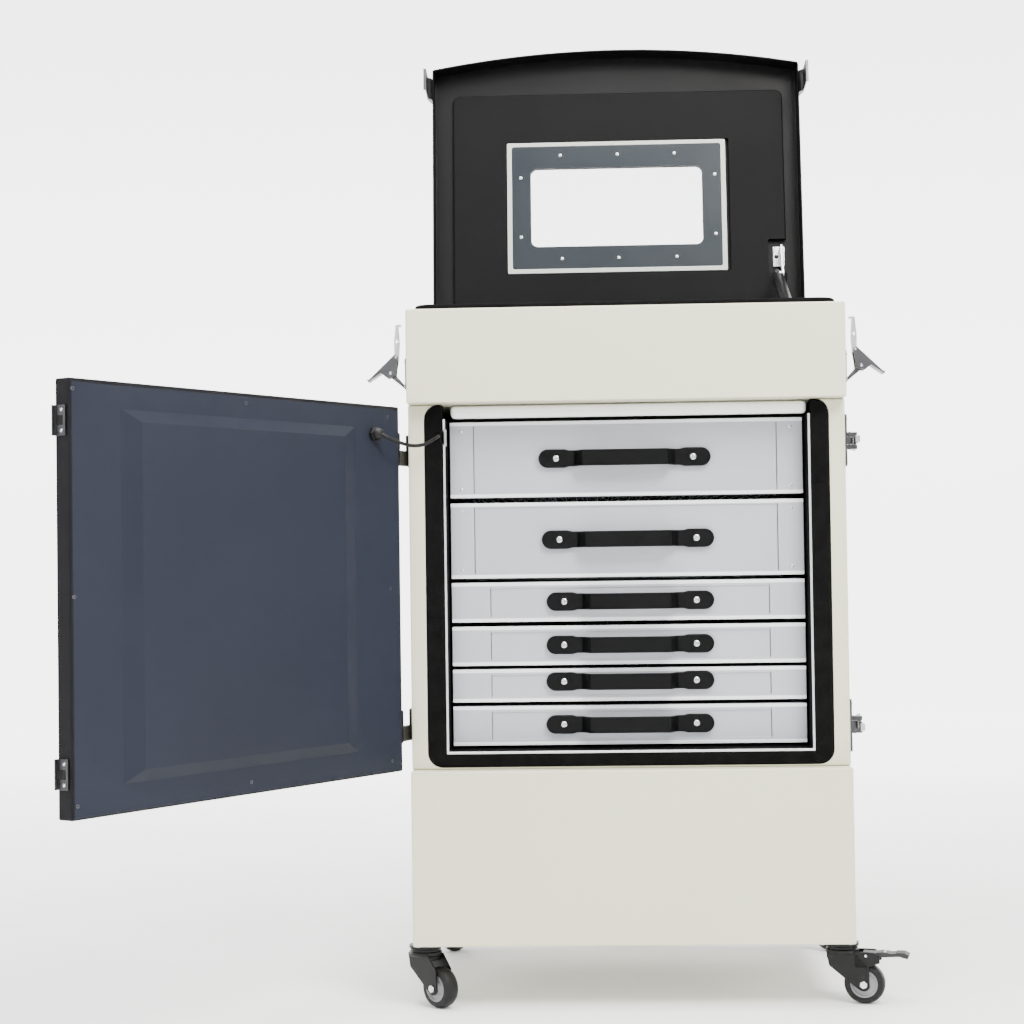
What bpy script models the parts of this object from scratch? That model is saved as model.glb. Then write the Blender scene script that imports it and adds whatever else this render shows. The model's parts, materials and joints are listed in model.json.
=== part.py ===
"""A mobile filter cabinet that cleans fumes: a steel cabinet on four castors, six filter
cassettes behind a side-hung door, and a blower bay under a top lid with a window and a gas strut.

Metres, +Z up, floor at z = 0. Inside the assembly x is measured from the cabinet's middle and
y from its front face. The assembly is then moved so that the middle of its footprint is the origin.
The doors, latches and castors stand as they are left when the filters are changed.
"""

import math

import bmesh
import bpy
from mathutils import Matrix, Vector

# Cabinet
HALF_WIDTH = 0.270
DEPTH = 0.420
BASE_BOTTOM = 0.080
BASE_TOP = 0.2942
HEADER_BOTTOM = 0.7466
HEADER_TOP = 0.8635
SHEET = 0.002
RECESS = 0.0215  # the door sits this far into the front
POST = 0.0197  # visible width of the posts beside the seal
GAP = 0.0004  # between pieces that touch
AIR_WAY = ((-0.150, 0.120), (0.150, 0.340))  # where air rises from the base into the filters
INLET_RADIUS = 0.075
INLET_HEIGHT = 0.187
EXHAUST = ((-0.120, 0.772), (0.120, 0.842))

# Filter bay
HOUSING_HALF = 0.2270
HOUSING_SHEET = 0.0030
HOUSING_BOTTOM = 0.3130
HOUSING_TOP = 0.7285
HOUSING_BACK = 0.4000
SEAL_CORNER = 0.018
FILTER_HALF = 0.2205
FILTER_FRONT = 0.0520
FILTER_BACK = 0.3900
FILTER_RIM = 0.014  # the cassette's frame around the media, which is open above and below
FILTER_HEIGHTS = ((0.6306, 0.7260), (0.5295, 0.6242), (0.4747, 0.5245),
                  (0.4203, 0.4695), (0.3747, 0.4160), (0.3206, 0.3699))
HANDLE_HEIGHTS = (0.6785, 0.5770, 0.4996, 0.4455, 0.4000, 0.3465)
HANDLE_LENGTHS = (0.215, 0.215, 0.209, 0.209, 0.209, 0.209)
HANDLE_SCREW_INSET = 0.022
HANDLE_FRONT = 0.0295
HANDLE_THICK = 0.005

# Door, seen closed: x from its pivot, z from the floor
DOOR_PIVOT = (-0.2847, 0.0023)
DOOR_EDGE = 0.0147
DOOR_WIDTH = 0.540
DOOR_THICK = 0.0205
DOOR_BOTTOM = 0.2975
DOOR_TOP = 0.7410
DOOR_OPEN = math.radians(122.2)
DOOR_SKIN = 0.0015
PANEL_RISE = 0.006
HINGE_HEIGHTS = (0.690, 0.350)
HINGE_HALF = 0.0195
HINGE_RADIUS = 0.0065
GLAND_U = 0.0507  # the lead's gland, from the door's hinged edge
GLAND_Z = 0.7057

# Lid, seen closed: y and z from its hinge line
LID_HINGE = (0.400, 0.8705)
LID_OPEN = math.radians(96.4)
LID_HALF = 0.266
LID_REACH = 0.402
LID_BOW = 0.0246  # how far the front edge bulges in the middle
LID_HEIGHT = 0.036
LID_SHEET = 0.002
WINDOW_HALF = 0.1245
WINDOW_NEAR, WINDOW_FAR = 0.1402, 0.2575  # distances of the window's edges from the hinge
FRAME_HALF = 0.1515
FRAME_NEAR, FRAME_FAR = 0.1075, 0.2900

# Gas strut, in the plane x = STRUT_X
STRUT_X = 0.2275
STRUT_HALF_THICK = 0.0028
STRUT_LID_END = (-0.090, 0.012)  # closed, from the lid's hinge
STRUT_CABINET_END = (0.100, 0.815)
STRUT_BODY = 0.165
STRUT_ROD = 0.172

# Latches: across the strike (o: out of the wall, d: towards the strike)
HEADER_LATCH_Y = 0.0265
HEADER_LATCH_Z = 0.786
HEADER_PIVOT_OUT = 0.020
DOOR_LATCH_HEIGHTS = (0.6945, 0.3435)
DOOR_LATCH_Y = 0.040
DOOR_PIVOT_OUT = 0.0070
LATCH_WIDTH = 0.022
STRIKE_DROP = 0.0385  # how far the lid's strikes hang below its hinge line
STRIKE_LIP = 0.0040

# Castors
CASTOR_X = 0.2585
CASTOR_FRONT_Y, CASTOR_REAR_Y = 0.050, 0.372
CASTOR_TRAIL = 0.0270
WHEEL_RADIUS = 0.0252
WHEEL_WIDTH = 0.020
CASTOR_PLATE = 0.0030
PEDAL_PIVOT = (0.0300, 0.0605)  # reach from the swivel, and height

X_AXIS, Y_AXIS, Z_AXIS = Vector((1, 0, 0)), Vector((0, 1, 0)), Vector((0, 0, 1))


# ---- helpers ----

def clear_scene():
    for item in list(bpy.data.objects):
        bpy.data.objects.remove(item, do_unlink=True)


def finish(name, colour, roughness, metallic=0.0, alpha=1.0):
    """A Principled material, made once for each name."""
    known = bpy.data.materials.get(name)
    if known:
        return known
    made = bpy.data.materials.new(name)
    made.use_nodes = True
    shader = made.node_tree.nodes["Principled BSDF"]
    shader.inputs["Base Color"].default_value = (*colour, 1.0)
    shader.inputs["Roughness"].default_value = roughness
    shader.inputs["Metallic"].default_value = metallic
    shader.inputs["Alpha"].default_value = alpha
    return made


def cream():
    return finish("cream_powder_coat", (0.72, 0.72, 0.65), 0.5)


def slate():
    return finish("slate_powder_coat", (0.045, 0.055, 0.075), 0.5)


def charcoal():
    return finish("charcoal_powder_coat", (0.03, 0.03, 0.032), 0.55)


def black_foam():
    return finish("black_foam", (0.015, 0.015, 0.015), 0.9)


def black_steel():
    return finish("black_steel", (0.02, 0.02, 0.02), 0.4, 0.6)


def black_plastic():
    return finish("black_plastic", (0.02, 0.02, 0.022), 0.45)


def aluminium():
    return finish("aluminium_sheet", (0.75, 0.76, 0.78), 0.35, 0.9)


def bright_steel():
    return finish("bright_steel", (0.62, 0.62, 0.64), 0.25, 1.0)


def axis_point(name, place, parent, rotation=(0.0, 0.0, 0.0)):
    """An empty on a joint's axis: the pieces below it are modelled from there."""
    empty = bpy.data.objects.new(name, None)
    empty.location = place
    empty.rotation_euler = rotation
    empty.parent = parent
    bpy.context.scene.collection.objects.link(empty)
    return empty


def block(low, high):
    """A box between two corners."""
    shape = bmesh.new()
    size = [b - a for a, b in zip(low, high)]
    middle = [(a + b) / 2 for a, b in zip(low, high)]
    bmesh.ops.create_cube(shape, size=1.0, matrix=Matrix.Translation(middle) @ Matrix.Diagonal((*size, 1)))
    return shape


def rounded_block(low, high, radius, segments=2):
    shape = block(low, high)
    bmesh.ops.bevel(shape, geom=shape.edges[:], offset=radius, segments=segments,
                    affect="EDGES", profile=0.5)
    return shape


def cylinder(middle, along, radius, length, sides=24, end_radius=None):
    """A cylinder or a cone with its middle at a point, along a direction."""
    shape = bmesh.new()
    turn = Z_AXIS.rotation_difference(Vector(along)).to_matrix().to_4x4()
    bmesh.ops.create_cone(shape, cap_ends=True, segments=sides, radius1=radius,
                          radius2=radius if end_radius is None else end_radius,
                          depth=length, matrix=Matrix.Translation(middle) @ turn)
    return shape


def slab(outline, axis, start, stop):
    """An outline of 2-D points pushed along axis 0, 1 or 2, between two heights."""
    shape = bmesh.new()
    corners = []
    for first, second in outline:
        point = [first, second]
        point.insert(axis, start)
        corners.append(shape.verts.new(point))
    face = shape.faces.new(corners)
    pushed = bmesh.ops.extrude_face_region(shape, geom=[face])
    shift = [0.0, 0.0, 0.0]
    shift[axis] = stop - start
    moved = [v for v in pushed["geom"] if isinstance(v, bmesh.types.BMVert)]
    bmesh.ops.translate(shape, verts=moved, vec=shift)
    bmesh.ops.recalc_face_normals(shape, faces=shape.faces[:])
    return shape


def arc(centre, radius, start_deg, stop_deg, steps):
    """Points along an arc, both ends included."""
    angles = [math.radians(start_deg + (stop_deg - start_deg) * i / steps) for i in range(steps + 1)]
    return [(centre[0] + radius * math.cos(a), centre[1] + radius * math.sin(a)) for a in angles]


def rounded_rectangle(low, high, radius, steps=5):
    (x0, y0), (x1, y1) = low, high
    return (arc((x1 - radius, y1 - radius), radius, 0, 90, steps)
            + arc((x0 + radius, y1 - radius), radius, 90, 180, steps)
            + arc((x0 + radius, y0 + radius), radius, 180, 270, steps)
            + arc((x1 - radius, y0 + radius), radius, 270, 360, steps))


def as_object(name, shape, parent):
    mesh = bpy.data.meshes.new(name)
    shape.to_mesh(mesh)
    shape.free()
    made = bpy.data.objects.new(name, mesh)
    made.parent = parent
    bpy.context.scene.collection.objects.link(made)
    return made


def add_shape(made, label, shape, parent, operation):
    """Joins a shape to a piece, cuts it away, or keeps only what the two share."""
    helper = as_object(f"{made.name}_{label}", shape, parent)
    helper.hide_render = True
    helper.display_type = "WIRE"
    modifier = made.modifiers.new(label, "BOOLEAN")
    modifier.operation = operation
    modifier.solver = "EXACT"
    modifier.object = helper


def solid(name, material, parent, shapes, cuts=(), smooth=False):
    """One closed piece: the first shape, joined with the others, less the cuts."""
    made = as_object(name, shapes[0], parent)
    made.data.materials.append(material)
    jobs = [("UNION", s) for s in shapes[1:]] + [("DIFFERENCE", c) for c in cuts]
    for number, (operation, shape) in enumerate(jobs):
        add_shape(made, f"{operation.lower()}_{number}", shape, parent, operation)
    if smooth:
        made.data.shade_smooth()
        made.data.set_sharp_from_angle(angle=math.radians(40))
    return made


# ---- cabinet ----

def castor_places():
    """Name, swivel position and the direction each castor trails in, in degrees from +X."""
    return (("front_left", -CASTOR_X, CASTOR_FRONT_Y, -44), ("front_right", CASTOR_X, CASTOR_FRONT_Y, -14),
            ("rear_left", -CASTOR_X, CASTOR_REAR_Y, 62), ("rear_right", CASTOR_X, CASTOR_REAR_Y, 20))


def base_box(root):
    """The closed steel box that the castors and the inlet duct are fixed to, with an air way in its top."""
    shapes = [block((-HALF_WIDTH, 0, BASE_BOTTOM), (HALF_WIDTH, DEPTH, BASE_TOP))]
    for _, x, y, _ in castor_places():
        inward = -math.copysign(0.010, x)
        shapes.append(block((x + inward - 0.022, y - 0.028, BASE_BOTTOM - CASTOR_PLATE),
                            (x + inward + 0.022, y + 0.028, BASE_BOTTOM + 0.001)))
    cuts = [block((-HALF_WIDTH + SHEET, SHEET, BASE_BOTTOM + SHEET),
                  (HALF_WIDTH - SHEET, DEPTH - SHEET, BASE_TOP - SHEET)),
            block((*AIR_WAY[0], BASE_TOP - 0.01), (*AIR_WAY[1], BASE_TOP + 0.01)),
            cylinder((0, DEPTH, INLET_HEIGHT), Y_AXIS, INLET_RADIUS - 0.002, 0.02, 32)]
    return solid("base_box", cream(), root, shapes, cuts)


def cabinet_body(root):
    """The middle of the cabinet: side and back walls, floor, and the two front posts."""
    low, high = BASE_TOP + GAP, HEADER_BOTTOM - GAP
    outer = block((-HALF_WIDTH, RECESS, low), (HALF_WIDTH, DEPTH, high))
    hollow = block((-HALF_WIDTH + SHEET, RECESS + SHEET, low + SHEET),
                   (HALF_WIDTH - SHEET, DEPTH - SHEET, high + 0.01))
    mouth = block((-HALF_WIDTH + POST, RECESS - 0.01, low + SHEET), (HALF_WIDTH - POST, RECESS + 0.01, high + 0.01))
    air_way = block((*AIR_WAY[0], low - 0.01), (*AIR_WAY[1], low + 0.01))
    return solid("cabinet_body", cream(), root, [outer], [hollow, mouth, air_way])


def header_box(root):
    """The top of the cabinet: a tray with the blower bay, open upwards, and the strut's lower stud."""
    outer = block((-HALF_WIDTH, 0, HEADER_BOTTOM), (HALF_WIDTH, DEPTH, HEADER_TOP))
    bay = block((-HALF_WIDTH + SHEET, SHEET, HEADER_BOTTOM + SHEET),
                (HALF_WIDTH - SHEET, DEPTH - SHEET, HEADER_TOP - SHEET))
    top_opening = block((-0.2520, 0.014, HEADER_TOP - 0.01), (0.2520, 0.386, HEADER_TOP + 0.01))
    fan_mouth = cylinder((0, 0.258, HEADER_BOTTOM), Z_AXIS, 0.070, 0.02, 32)
    (left, low), (right, high) = EXHAUST
    exhaust = block((left, DEPTH - 0.01, low), (right, DEPTH + 0.01, high))
    inlet_hole = block((0.186, DEPTH - 0.01, 0.786), (0.224, DEPTH + 0.01, 0.814))
    y, z = STRUT_CABINET_END
    start = STRUT_X + STRUT_HALF_THICK + GAP
    length = HALF_WIDTH - 0.001 - start
    stud = cylinder((start + length / 2, y, z), X_AXIS, 0.004, length, 16)
    made = solid("header_box", cream(), root, [outer], [bay, top_opening, fan_mouth, exhaust, inlet_hole])
    add_shape(made, "strut_stud", stud, root, "UNION")


def front_seal(root):
    """The black foam around the filter bay: two uprights and the bottom run, with round corners."""
    half = HALF_WIDTH - POST - 0.0006
    bottom, top = BASE_TOP + GAP + SHEET + 0.0006, HEADER_BOTTOM - 0.001
    outer = slab(rounded_rectangle((-half, bottom), (half, top), SEAL_CORNER, 4), 1,
                 RECESS - 0.0003, RECESS + 0.024)
    inner = block((-HOUSING_HALF - 0.0006, RECESS - 0.01, HOUSING_BOTTOM - 0.0006),
                  (HOUSING_HALF + 0.0006, RECESS + 0.04, top + 0.01))
    return solid("front_seal", black_foam(), root, [outer], [inner])


def filter_housing(root):
    """The aluminium sleeve that the cassettes slide in, open to the front and the top."""
    outer = block((-HOUSING_HALF, RECESS - 0.0003, HOUSING_BOTTOM), (HOUSING_HALF, HOUSING_BACK, HOUSING_TOP))
    inside = block((-HOUSING_HALF + HOUSING_SHEET, RECESS - 0.01, HOUSING_BOTTOM + HOUSING_SHEET),
                   (HOUSING_HALF - HOUSING_SHEET, HOUSING_BACK - HOUSING_SHEET, HOUSING_TOP + 0.01))
    air_way = block((*AIR_WAY[0], HOUSING_BOTTOM - 0.01), (*AIR_WAY[1], HOUSING_BOTTOM + 0.01))
    return solid("filter_housing", aluminium(), root, [outer], [inside, air_way])


def clamp_bar(root):
    """The white bar that holds the stack of cassettes down, across the top of the bay."""
    shape = rounded_block((-0.2175, 0.030, 0.7295), (0.2235, 0.044, 0.7448), 0.005, 3)
    return solid("clamp_bar", finish("white_plastic", (0.9, 0.9, 0.9), 0.35), root, [shape], smooth=True)


def lid_seal(root):
    """The black foam strip that the lid closes on."""
    outer = block((-0.2600, 0.006, HEADER_TOP + GAP), (0.2600, 0.392, LID_HINGE[1] - 0.0002))
    inner = block((-0.2480, 0.018, HEADER_TOP - 0.01), (0.2480, 0.380, LID_HINGE[1] + 0.01))
    return solid("lid_seal", black_foam(), root, [outer], [inner])


def blower(root):
    """The blower housing with its control panel on top, and the impeller inside."""
    low, high = HEADER_BOTTOM + SHEET + GAP, 0.8500
    (_, grille_low), (_, grille_high) = EXHAUST
    outer = block((-0.150, 0.110, low), (0.150, 0.405, high))
    hollow = block((-0.148, 0.112, low - 0.01), (0.148, 0.403, high - SHEET))
    exhaust = block((-0.118, 0.39, grille_low + 0.002), (0.118, 0.42, grille_high - 0.002))
    switch_hole = block((0.083, 0.206, high - 0.01), (0.107, 0.230, high + 0.01))
    solid("blower_housing", black_steel(), root, [outer], [hollow, exhaust, switch_hole])

    fan = axis_point("fan_axis", (0, 0.258, 0.760), root)
    disc = cylinder((0, 0, 0.060), Z_AXIS, 0.105, 0.003, 40)
    motor = cylinder((0, 0, 0.038), Z_AXIS, 0.045, 0.046, 24)
    ring = turned([(0.068, 0.008), (0.105, 0.008), (0.105, 0.004), (0.068, 0.004)], 40)
    blades = []
    count = 7
    for i in range(count):
        blade = block((-0.020, -0.001, 0.005), (0.020, 0.001, 0.0595))
        bmesh.ops.transform(blade, verts=blade.verts[:],
                            matrix=Matrix.Rotation(2 * math.pi * i / count, 4, "Z")
                            @ Matrix.Translation((0.083, 0, 0)) @ Matrix.Rotation(math.radians(42), 4, "Z"))
        blades.append(blade)
    return solid("fan_impeller", aluminium(), fan, [disc, motor, *blades, ring])


def turned(profile, sides, axis=Z_AXIS, place=(0, 0, 0)):
    """A closed profile of (radius, height) points turned about an axis."""
    shape = bmesh.new()
    rings = []
    for i in range(sides):
        angle = 2 * math.pi * i / sides
        rings.append([shape.verts.new((r * math.cos(angle), r * math.sin(angle), h)) for r, h in profile])
    count = len(profile)
    for i in range(sides):
        here, there = rings[i], rings[(i + 1) % sides]
        for j in range(count):
            k = (j + 1) % count
            shape.faces.new((here[j], there[j], there[k], here[k]))
    bmesh.ops.recalc_face_normals(shape, faces=shape.faces[:])
    turn = Z_AXIS.rotation_difference(Vector(axis)).to_matrix().to_4x4()
    bmesh.ops.transform(shape, verts=shape.verts[:], matrix=Matrix.Translation(place) @ turn)
    return shape


def power_switch(root):
    """The rocker on the control panel, which tips about a line across it."""
    rocker = axis_point("switch_axis", (0.095, 0.218, 0.8470), root, (0, math.radians(-7), 0))
    shape = rounded_block((-0.0105, -0.0095, -0.003), (0.0105, 0.0095, 0.0065), 0.0012, 1)
    return solid("power_switch", finish("red_plastic", (0.5, 0.02, 0.02), 0.35), rocker, [shape])


def rear_fittings(root):
    """What is on the back: the inlet duct's collar, the exhaust grille and the mains inlet."""
    flange, collar = 0.094, INLET_RADIUS
    profile = [(collar - 0.002, 0.0), (collar - 0.002, 0.055), (collar, 0.055), (collar, 0.003),
               (flange, 0.003), (flange, 0.0)]
    solid("inlet_collar", black_steel(), root,
          [turned(profile, 32, Y_AXIS, (0, DEPTH + GAP, INLET_HEIGHT))], smooth=True)

    (left, low), (right, high) = EXHAUST
    plate = block((left - 0.012, DEPTH + GAP, low - 0.010), (right + 0.012, DEPTH + GAP + 0.002, high + 0.010))
    slots = [block((left + 0.006, DEPTH - 0.01, z), (right - 0.006, DEPTH + 0.02, z + 0.005))
             for z in (low + 0.004 + 0.010 * i for i in range(7))]
    solid("exhaust_grille", charcoal(), root, [plate], slots)

    flange_plate = block((0.180, DEPTH + GAP, 0.780), (0.230, DEPTH + 0.004, 0.820))
    shroud = block((0.1875, DEPTH - 0.022, 0.7875), (0.2225, DEPTH + 0.003, 0.8125))
    socket = block((0.1925, DEPTH - 0.018, 0.7925), (0.2175, DEPTH + 0.01, 0.8075))
    solid("power_inlet", black_plastic(), root, [flange_plate, shroud], [socket])


# ---- filters ----

def filters(root):
    """Six cassettes that slide out to the front, each with a strap handle."""
    for i, (low, high) in enumerate(FILTER_HEIGHTS):
        number = i + 1
        place = axis_point(f"filter_{number}_slide", (0, FILTER_FRONT, 0), root)
        depth, inset = FILTER_BACK - FILTER_FRONT, FILTER_RIM
        body = block((-FILTER_HALF, 0, low), (FILTER_HALF, depth, high))
        media = high - 0.25 * (high - low)
        below = block((-FILTER_HALF + inset, inset, low - 0.01), (FILTER_HALF - inset, depth - inset, media))
        above = block((-FILTER_HALF + inset, inset, high - 0.003), (FILTER_HALF - inset, depth - inset, high + 0.01))
        solid(f"filter_cassette_{number}", aluminium(), place, [body], [below, above])
        handle(place, number, HANDLE_HEIGHTS[i], HANDLE_LENGTHS[i])


def handle(place, number, height, length):
    """A bowed strap between two round-ended feet."""
    back = -GAP
    front = HANDLE_FRONT - FILTER_FRONT
    half = length / 2
    foot = half - 2 * HANDLE_SCREW_INSET
    bow = half - 2.6 * HANDLE_SCREW_INSET
    path = [(-half, back), (-half, back - HANDLE_THICK), (-foot, back - HANDLE_THICK), (-bow, front),
            (bow, front), (foot, back - HANDLE_THICK), (half, back - HANDLE_THICK), (half, back),
            (foot - 0.002, back), (bow - 0.002, front + HANDLE_THICK), (-bow + 0.002, front + HANDLE_THICK),
            (-foot + 0.002, back)]
    strap = slab(path, 2, height - 0.0120, height + 0.0120)
    outline = []
    pad, waist = 0.0112, 0.0098
    for side in (1, -1):
        centre = (side * (half - pad), height)
        outline += arc(centre, pad, -75 if side > 0 else 105, 75 if side > 0 else 255, 8)
        outline.append((side * foot, height + side * waist))
        outline.append((-side * foot, height + side * waist))
    keep = slab(outline, 1, front - 0.01, back + 0.01)
    made = solid(f"filter_handle_{number}", black_plastic(), place, [strap])
    add_shape(made, "round_ends", keep, place, "INTERSECT")


# ---- lid ----

def lid_outline(inset, reach_inset=None):
    """The lid in plan, its front edge bowed; y is minus the distance from the hinge."""
    half = LID_HALF - inset
    reach = LID_REACH - (inset if reach_inset is None else reach_inset)
    radius = (half ** 2 + LID_BOW ** 2) / (2 * LID_BOW)
    centre = -(reach + LID_BOW) + radius
    swing = math.degrees(math.asin(half / radius))
    front = arc((0, centre), radius, 270 - swing, 270 + swing, 16)
    return front + [(half, -inset), (-half, -inset)]


def lid(root):
    hinge = axis_point("lid_axis", (0, *LID_HINGE), root, (-LID_OPEN, 0, 0))
    shell = slab(lid_outline(0.0), 2, 0.0006, LID_HEIGHT)
    hollow = slab(lid_outline(LID_SHEET), 2, -0.01, LID_HEIGHT - LID_SHEET)
    window = slab(rounded_rectangle((-WINDOW_HALF, -WINDOW_FAR), (WINDOW_HALF, -WINDOW_NEAR), 0.010, 4), 2,
                  0.02, 0.05)
    solid("lid_shell", charcoal(), hinge, [shell], [hollow, window])

    ceiling = LID_HEIGHT - LID_SHEET - GAP
    pane = block((-WINDOW_HALF - 0.012, -WINDOW_FAR - 0.012, ceiling - 0.003),
                 (WINDOW_HALF + 0.012, -WINDOW_NEAR + 0.012, ceiling))
    solid("lid_window_pane", finish("clear_glass", (0.9, 0.95, 0.97), 0.05, 0.0, 0.3), hinge, [pane])
    top = ceiling - 0.003 - GAP
    frame = block((-FRAME_HALF, -FRAME_FAR, top - 0.003), (FRAME_HALF, -FRAME_NEAR, top))
    sight = slab(rounded_rectangle((-WINDOW_HALF, -WINDOW_FAR), (WINDOW_HALF, -WINDOW_NEAR), 0.010, 4), 2,
                 top - 0.01, top + 0.01)
    solid("lid_window_frame", slate(), hinge, [frame], [sight])

    x = STRUT_X + STRUT_HALF_THICK + GAP
    y, z = STRUT_LID_END
    foot = block((STRUT_X - 0.003, -0.1340, ceiling - 0.003), (x + 0.0105, -0.1050, ceiling))
    ear = slab([(-0.134, ceiling - 0.001), (-0.105, ceiling - 0.001), (y + 0.007, z + 0.004), (y + 0.004, z - 0.006),
                (y - 0.005, z - 0.006), (-0.134, z + 0.006)], 0, x + 0.0037, x + 0.0067)
    stud = cylinder((x + 0.0025, y, z), X_AXIS, 0.004, 0.005, 16)
    solid("strut_bracket", bright_steel(), hinge, [foot, ear, stud])

    for side, name in ((-1, "left"), (1, "right")):
        lid_strike(hinge, side, name)
    return hinge


def lid_strike(hinge, side, name):
    """A plate on the lid's side whose tail hangs over the header and ends in a lip for the claw."""
    wall = LID_HALF + GAP
    out = 0.0018 + HALF_WIDTH
    middle = HEADER_LATCH_Y - LID_HINGE[0]
    profile = [(wall, 0.004), (wall, 0.024), (wall + 0.002, 0.024), (out + 0.0015, 0.004),
               (out + 0.0015, -STRIKE_DROP + 0.0015), (out + STRIKE_LIP, -STRIKE_DROP + 0.0015),
               (out + STRIKE_LIP, -STRIKE_DROP), (out, -STRIKE_DROP), (out, -0.002)]
    outline = [(side * x, z) for x, z in profile]
    plate = slab(outline, 1, middle - 0.016, middle + 0.016)
    solid(f"lid_strike_{name}", bright_steel(), hinge, [plate])


def strut(hinge):
    """The gas strut, hung from the lid; its lower end meets the stud in the header."""
    y, z = STRUT_LID_END
    lean = Matrix.Rotation(-LID_OPEN, 4, "X")
    opened = lean @ Vector((0, y, z))
    top = Vector((0, LID_HINGE[0], LID_HINGE[1])) + opened
    bottom = Vector((0, *STRUT_CABINET_END))
    reach = (bottom - top).length
    down = (bottom - top).normalized()
    along = lean.inverted() @ down
    turn = math.atan2(-along.y, -along.z)
    pivot = axis_point("strut_axis", (STRUT_X, y, z), hinge, (-turn, 0, 0))
    eye = cylinder((0, 0, 0), X_AXIS, 0.006, 2 * STRUT_HALF_THICK, 20)
    neck = cylinder((0, 0, -0.012), Z_AXIS, 0.0026, 0.016, 12)
    socket = cylinder((0, 0, -0.0185), Z_AXIS, 0.0045, 0.007, 16)
    body = cylinder((0, 0, -0.021 - STRUT_BODY / 2), Z_AXIS, 0.0085, STRUT_BODY, 24)
    eye_hole = cylinder((0, 0, 0), X_AXIS, 0.0028, 0.02, 16)
    bore = cylinder((0, 0, -0.021 - STRUT_BODY + 0.070), Z_AXIS, 0.0042, 0.150, 20)
    solid("strut_cylinder", black_steel(), pivot, [body, socket, neck, eye], [eye_hole, bore], smooth=True)

    slide = axis_point("strut_rod_slide", (0, 0, -reach), pivot)
    rod_eye = cylinder((0, 0, 0), X_AXIS, 0.006, 2 * STRUT_HALF_THICK, 20)
    rod = cylinder((0, 0, (0.010 + STRUT_ROD) / 2), Z_AXIS, 0.0038, STRUT_ROD - 0.010, 20)
    rod_neck = cylinder((0, 0, 0.008), Z_AXIS, 0.0026, 0.008, 12)
    rod_hole = cylinder((0, 0, 0), X_AXIS, 0.0028, 0.02, 16)
    solid("strut_rod", bright_steel(), slide, [rod, rod_neck, rod_eye], [rod_hole], smooth=True)


# ---- door ----

def door(root):
    hinge = axis_point("door_axis", (*DOOR_PIVOT, 0), root, (0, 0, -DOOR_OPEN))
    outer_y = -DOOR_PIVOT[1]
    inner_y = outer_y + DOOR_THICK
    left, right = DOOR_EDGE, DOOR_EDGE + DOOR_WIDTH
    slab_shape = block((left, outer_y, DOOR_BOTTOM), (right, inner_y, DOOR_TOP))
    raised = raised_panel(left + 0.081, left + 0.475, 0.3250, 0.7160, inner_y, PANEL_RISE)
    cavity = block((left + DOOR_SKIN, outer_y + DOOR_SKIN, DOOR_BOTTOM + DOOR_SKIN),
                   (right - DOOR_SKIN, inner_y - DOOR_SKIN, DOOR_TOP - DOOR_SKIN))
    dished = raised_panel(left + 0.083, left + 0.473, 0.3270, 0.7140, inner_y - 0.003, PANEL_RISE + 0.0015)
    gland_hole = cylinder((left + GLAND_U, inner_y, GLAND_Z), Y_AXIS, 0.0035, 0.02, 16)
    knuckles = []
    for height in HINGE_HEIGHTS:
        low, high = height + 0.0004, height + HINGE_HALF
        knuckles.append(cylinder((0, 0, (low + high) / 2), Z_AXIS, HINGE_RADIUS, high - low, 20))
        knuckles.append(block((0.002, -0.0022, low), (left + 0.001, 0.0022, high)))
        knuckles.append(block((left - 0.003, outer_y + 0.0004, height - HINGE_HALF + 0.001),
                              (left + 0.001, inner_y - 0.001, high)))
    solid("door_panel", slate(), hinge, [slab_shape, raised, *knuckles], [cavity, dished, gland_hole])

    for name, height in zip(("upper", "lower"), (0.6983, 0.3437)):
        door_strike(hinge, name, height, right, outer_y)
    return hinge


def raised_panel(left, right, low, high, base_y, rise):
    """A pressed panel with sloping sides, standing off the inner face."""
    slope_x, slope_z = 0.031, 0.016
    shape = bmesh.new()
    root_y = base_y - 0.001
    lower = [shape.verts.new(p) for p in ((left, root_y, low), (right, root_y, low),
                                          (right, root_y, high), (left, root_y, high))]
    upper = [shape.verts.new(p) for p in
             ((left + slope_x, base_y + rise, low + slope_z), (right - slope_x, base_y + rise, low + slope_z),
              (right - slope_x, base_y + rise, high - slope_z), (left + slope_x, base_y + rise, high - slope_z))]
    shape.faces.new(lower)
    shape.faces.new(upper)
    for i in range(4):
        k = (i + 1) % 4
        shape.faces.new((lower[i], lower[k], upper[k], upper[i]))
    bmesh.ops.recalc_face_normals(shape, faces=shape.faces[:])
    return shape


def door_strike(hinge, name, height, edge, outer_y):
    """The catch plate on the door's free edge, with a lip that the claw pulls on."""
    x = edge + GAP
    profile = [(x, outer_y + 0.001), (x + 0.0055, outer_y + 0.001), (x + 0.0055, outer_y + 0.0025),
               (x + 0.0015, outer_y + 0.0025), (x + 0.0015, outer_y + 0.0160), (x, outer_y + 0.0160)]
    plate = slab(profile, 2, height - 0.0155, height + 0.0155)
    solid(f"door_strike_{name}", bright_steel(), hinge, [plate])


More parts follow.
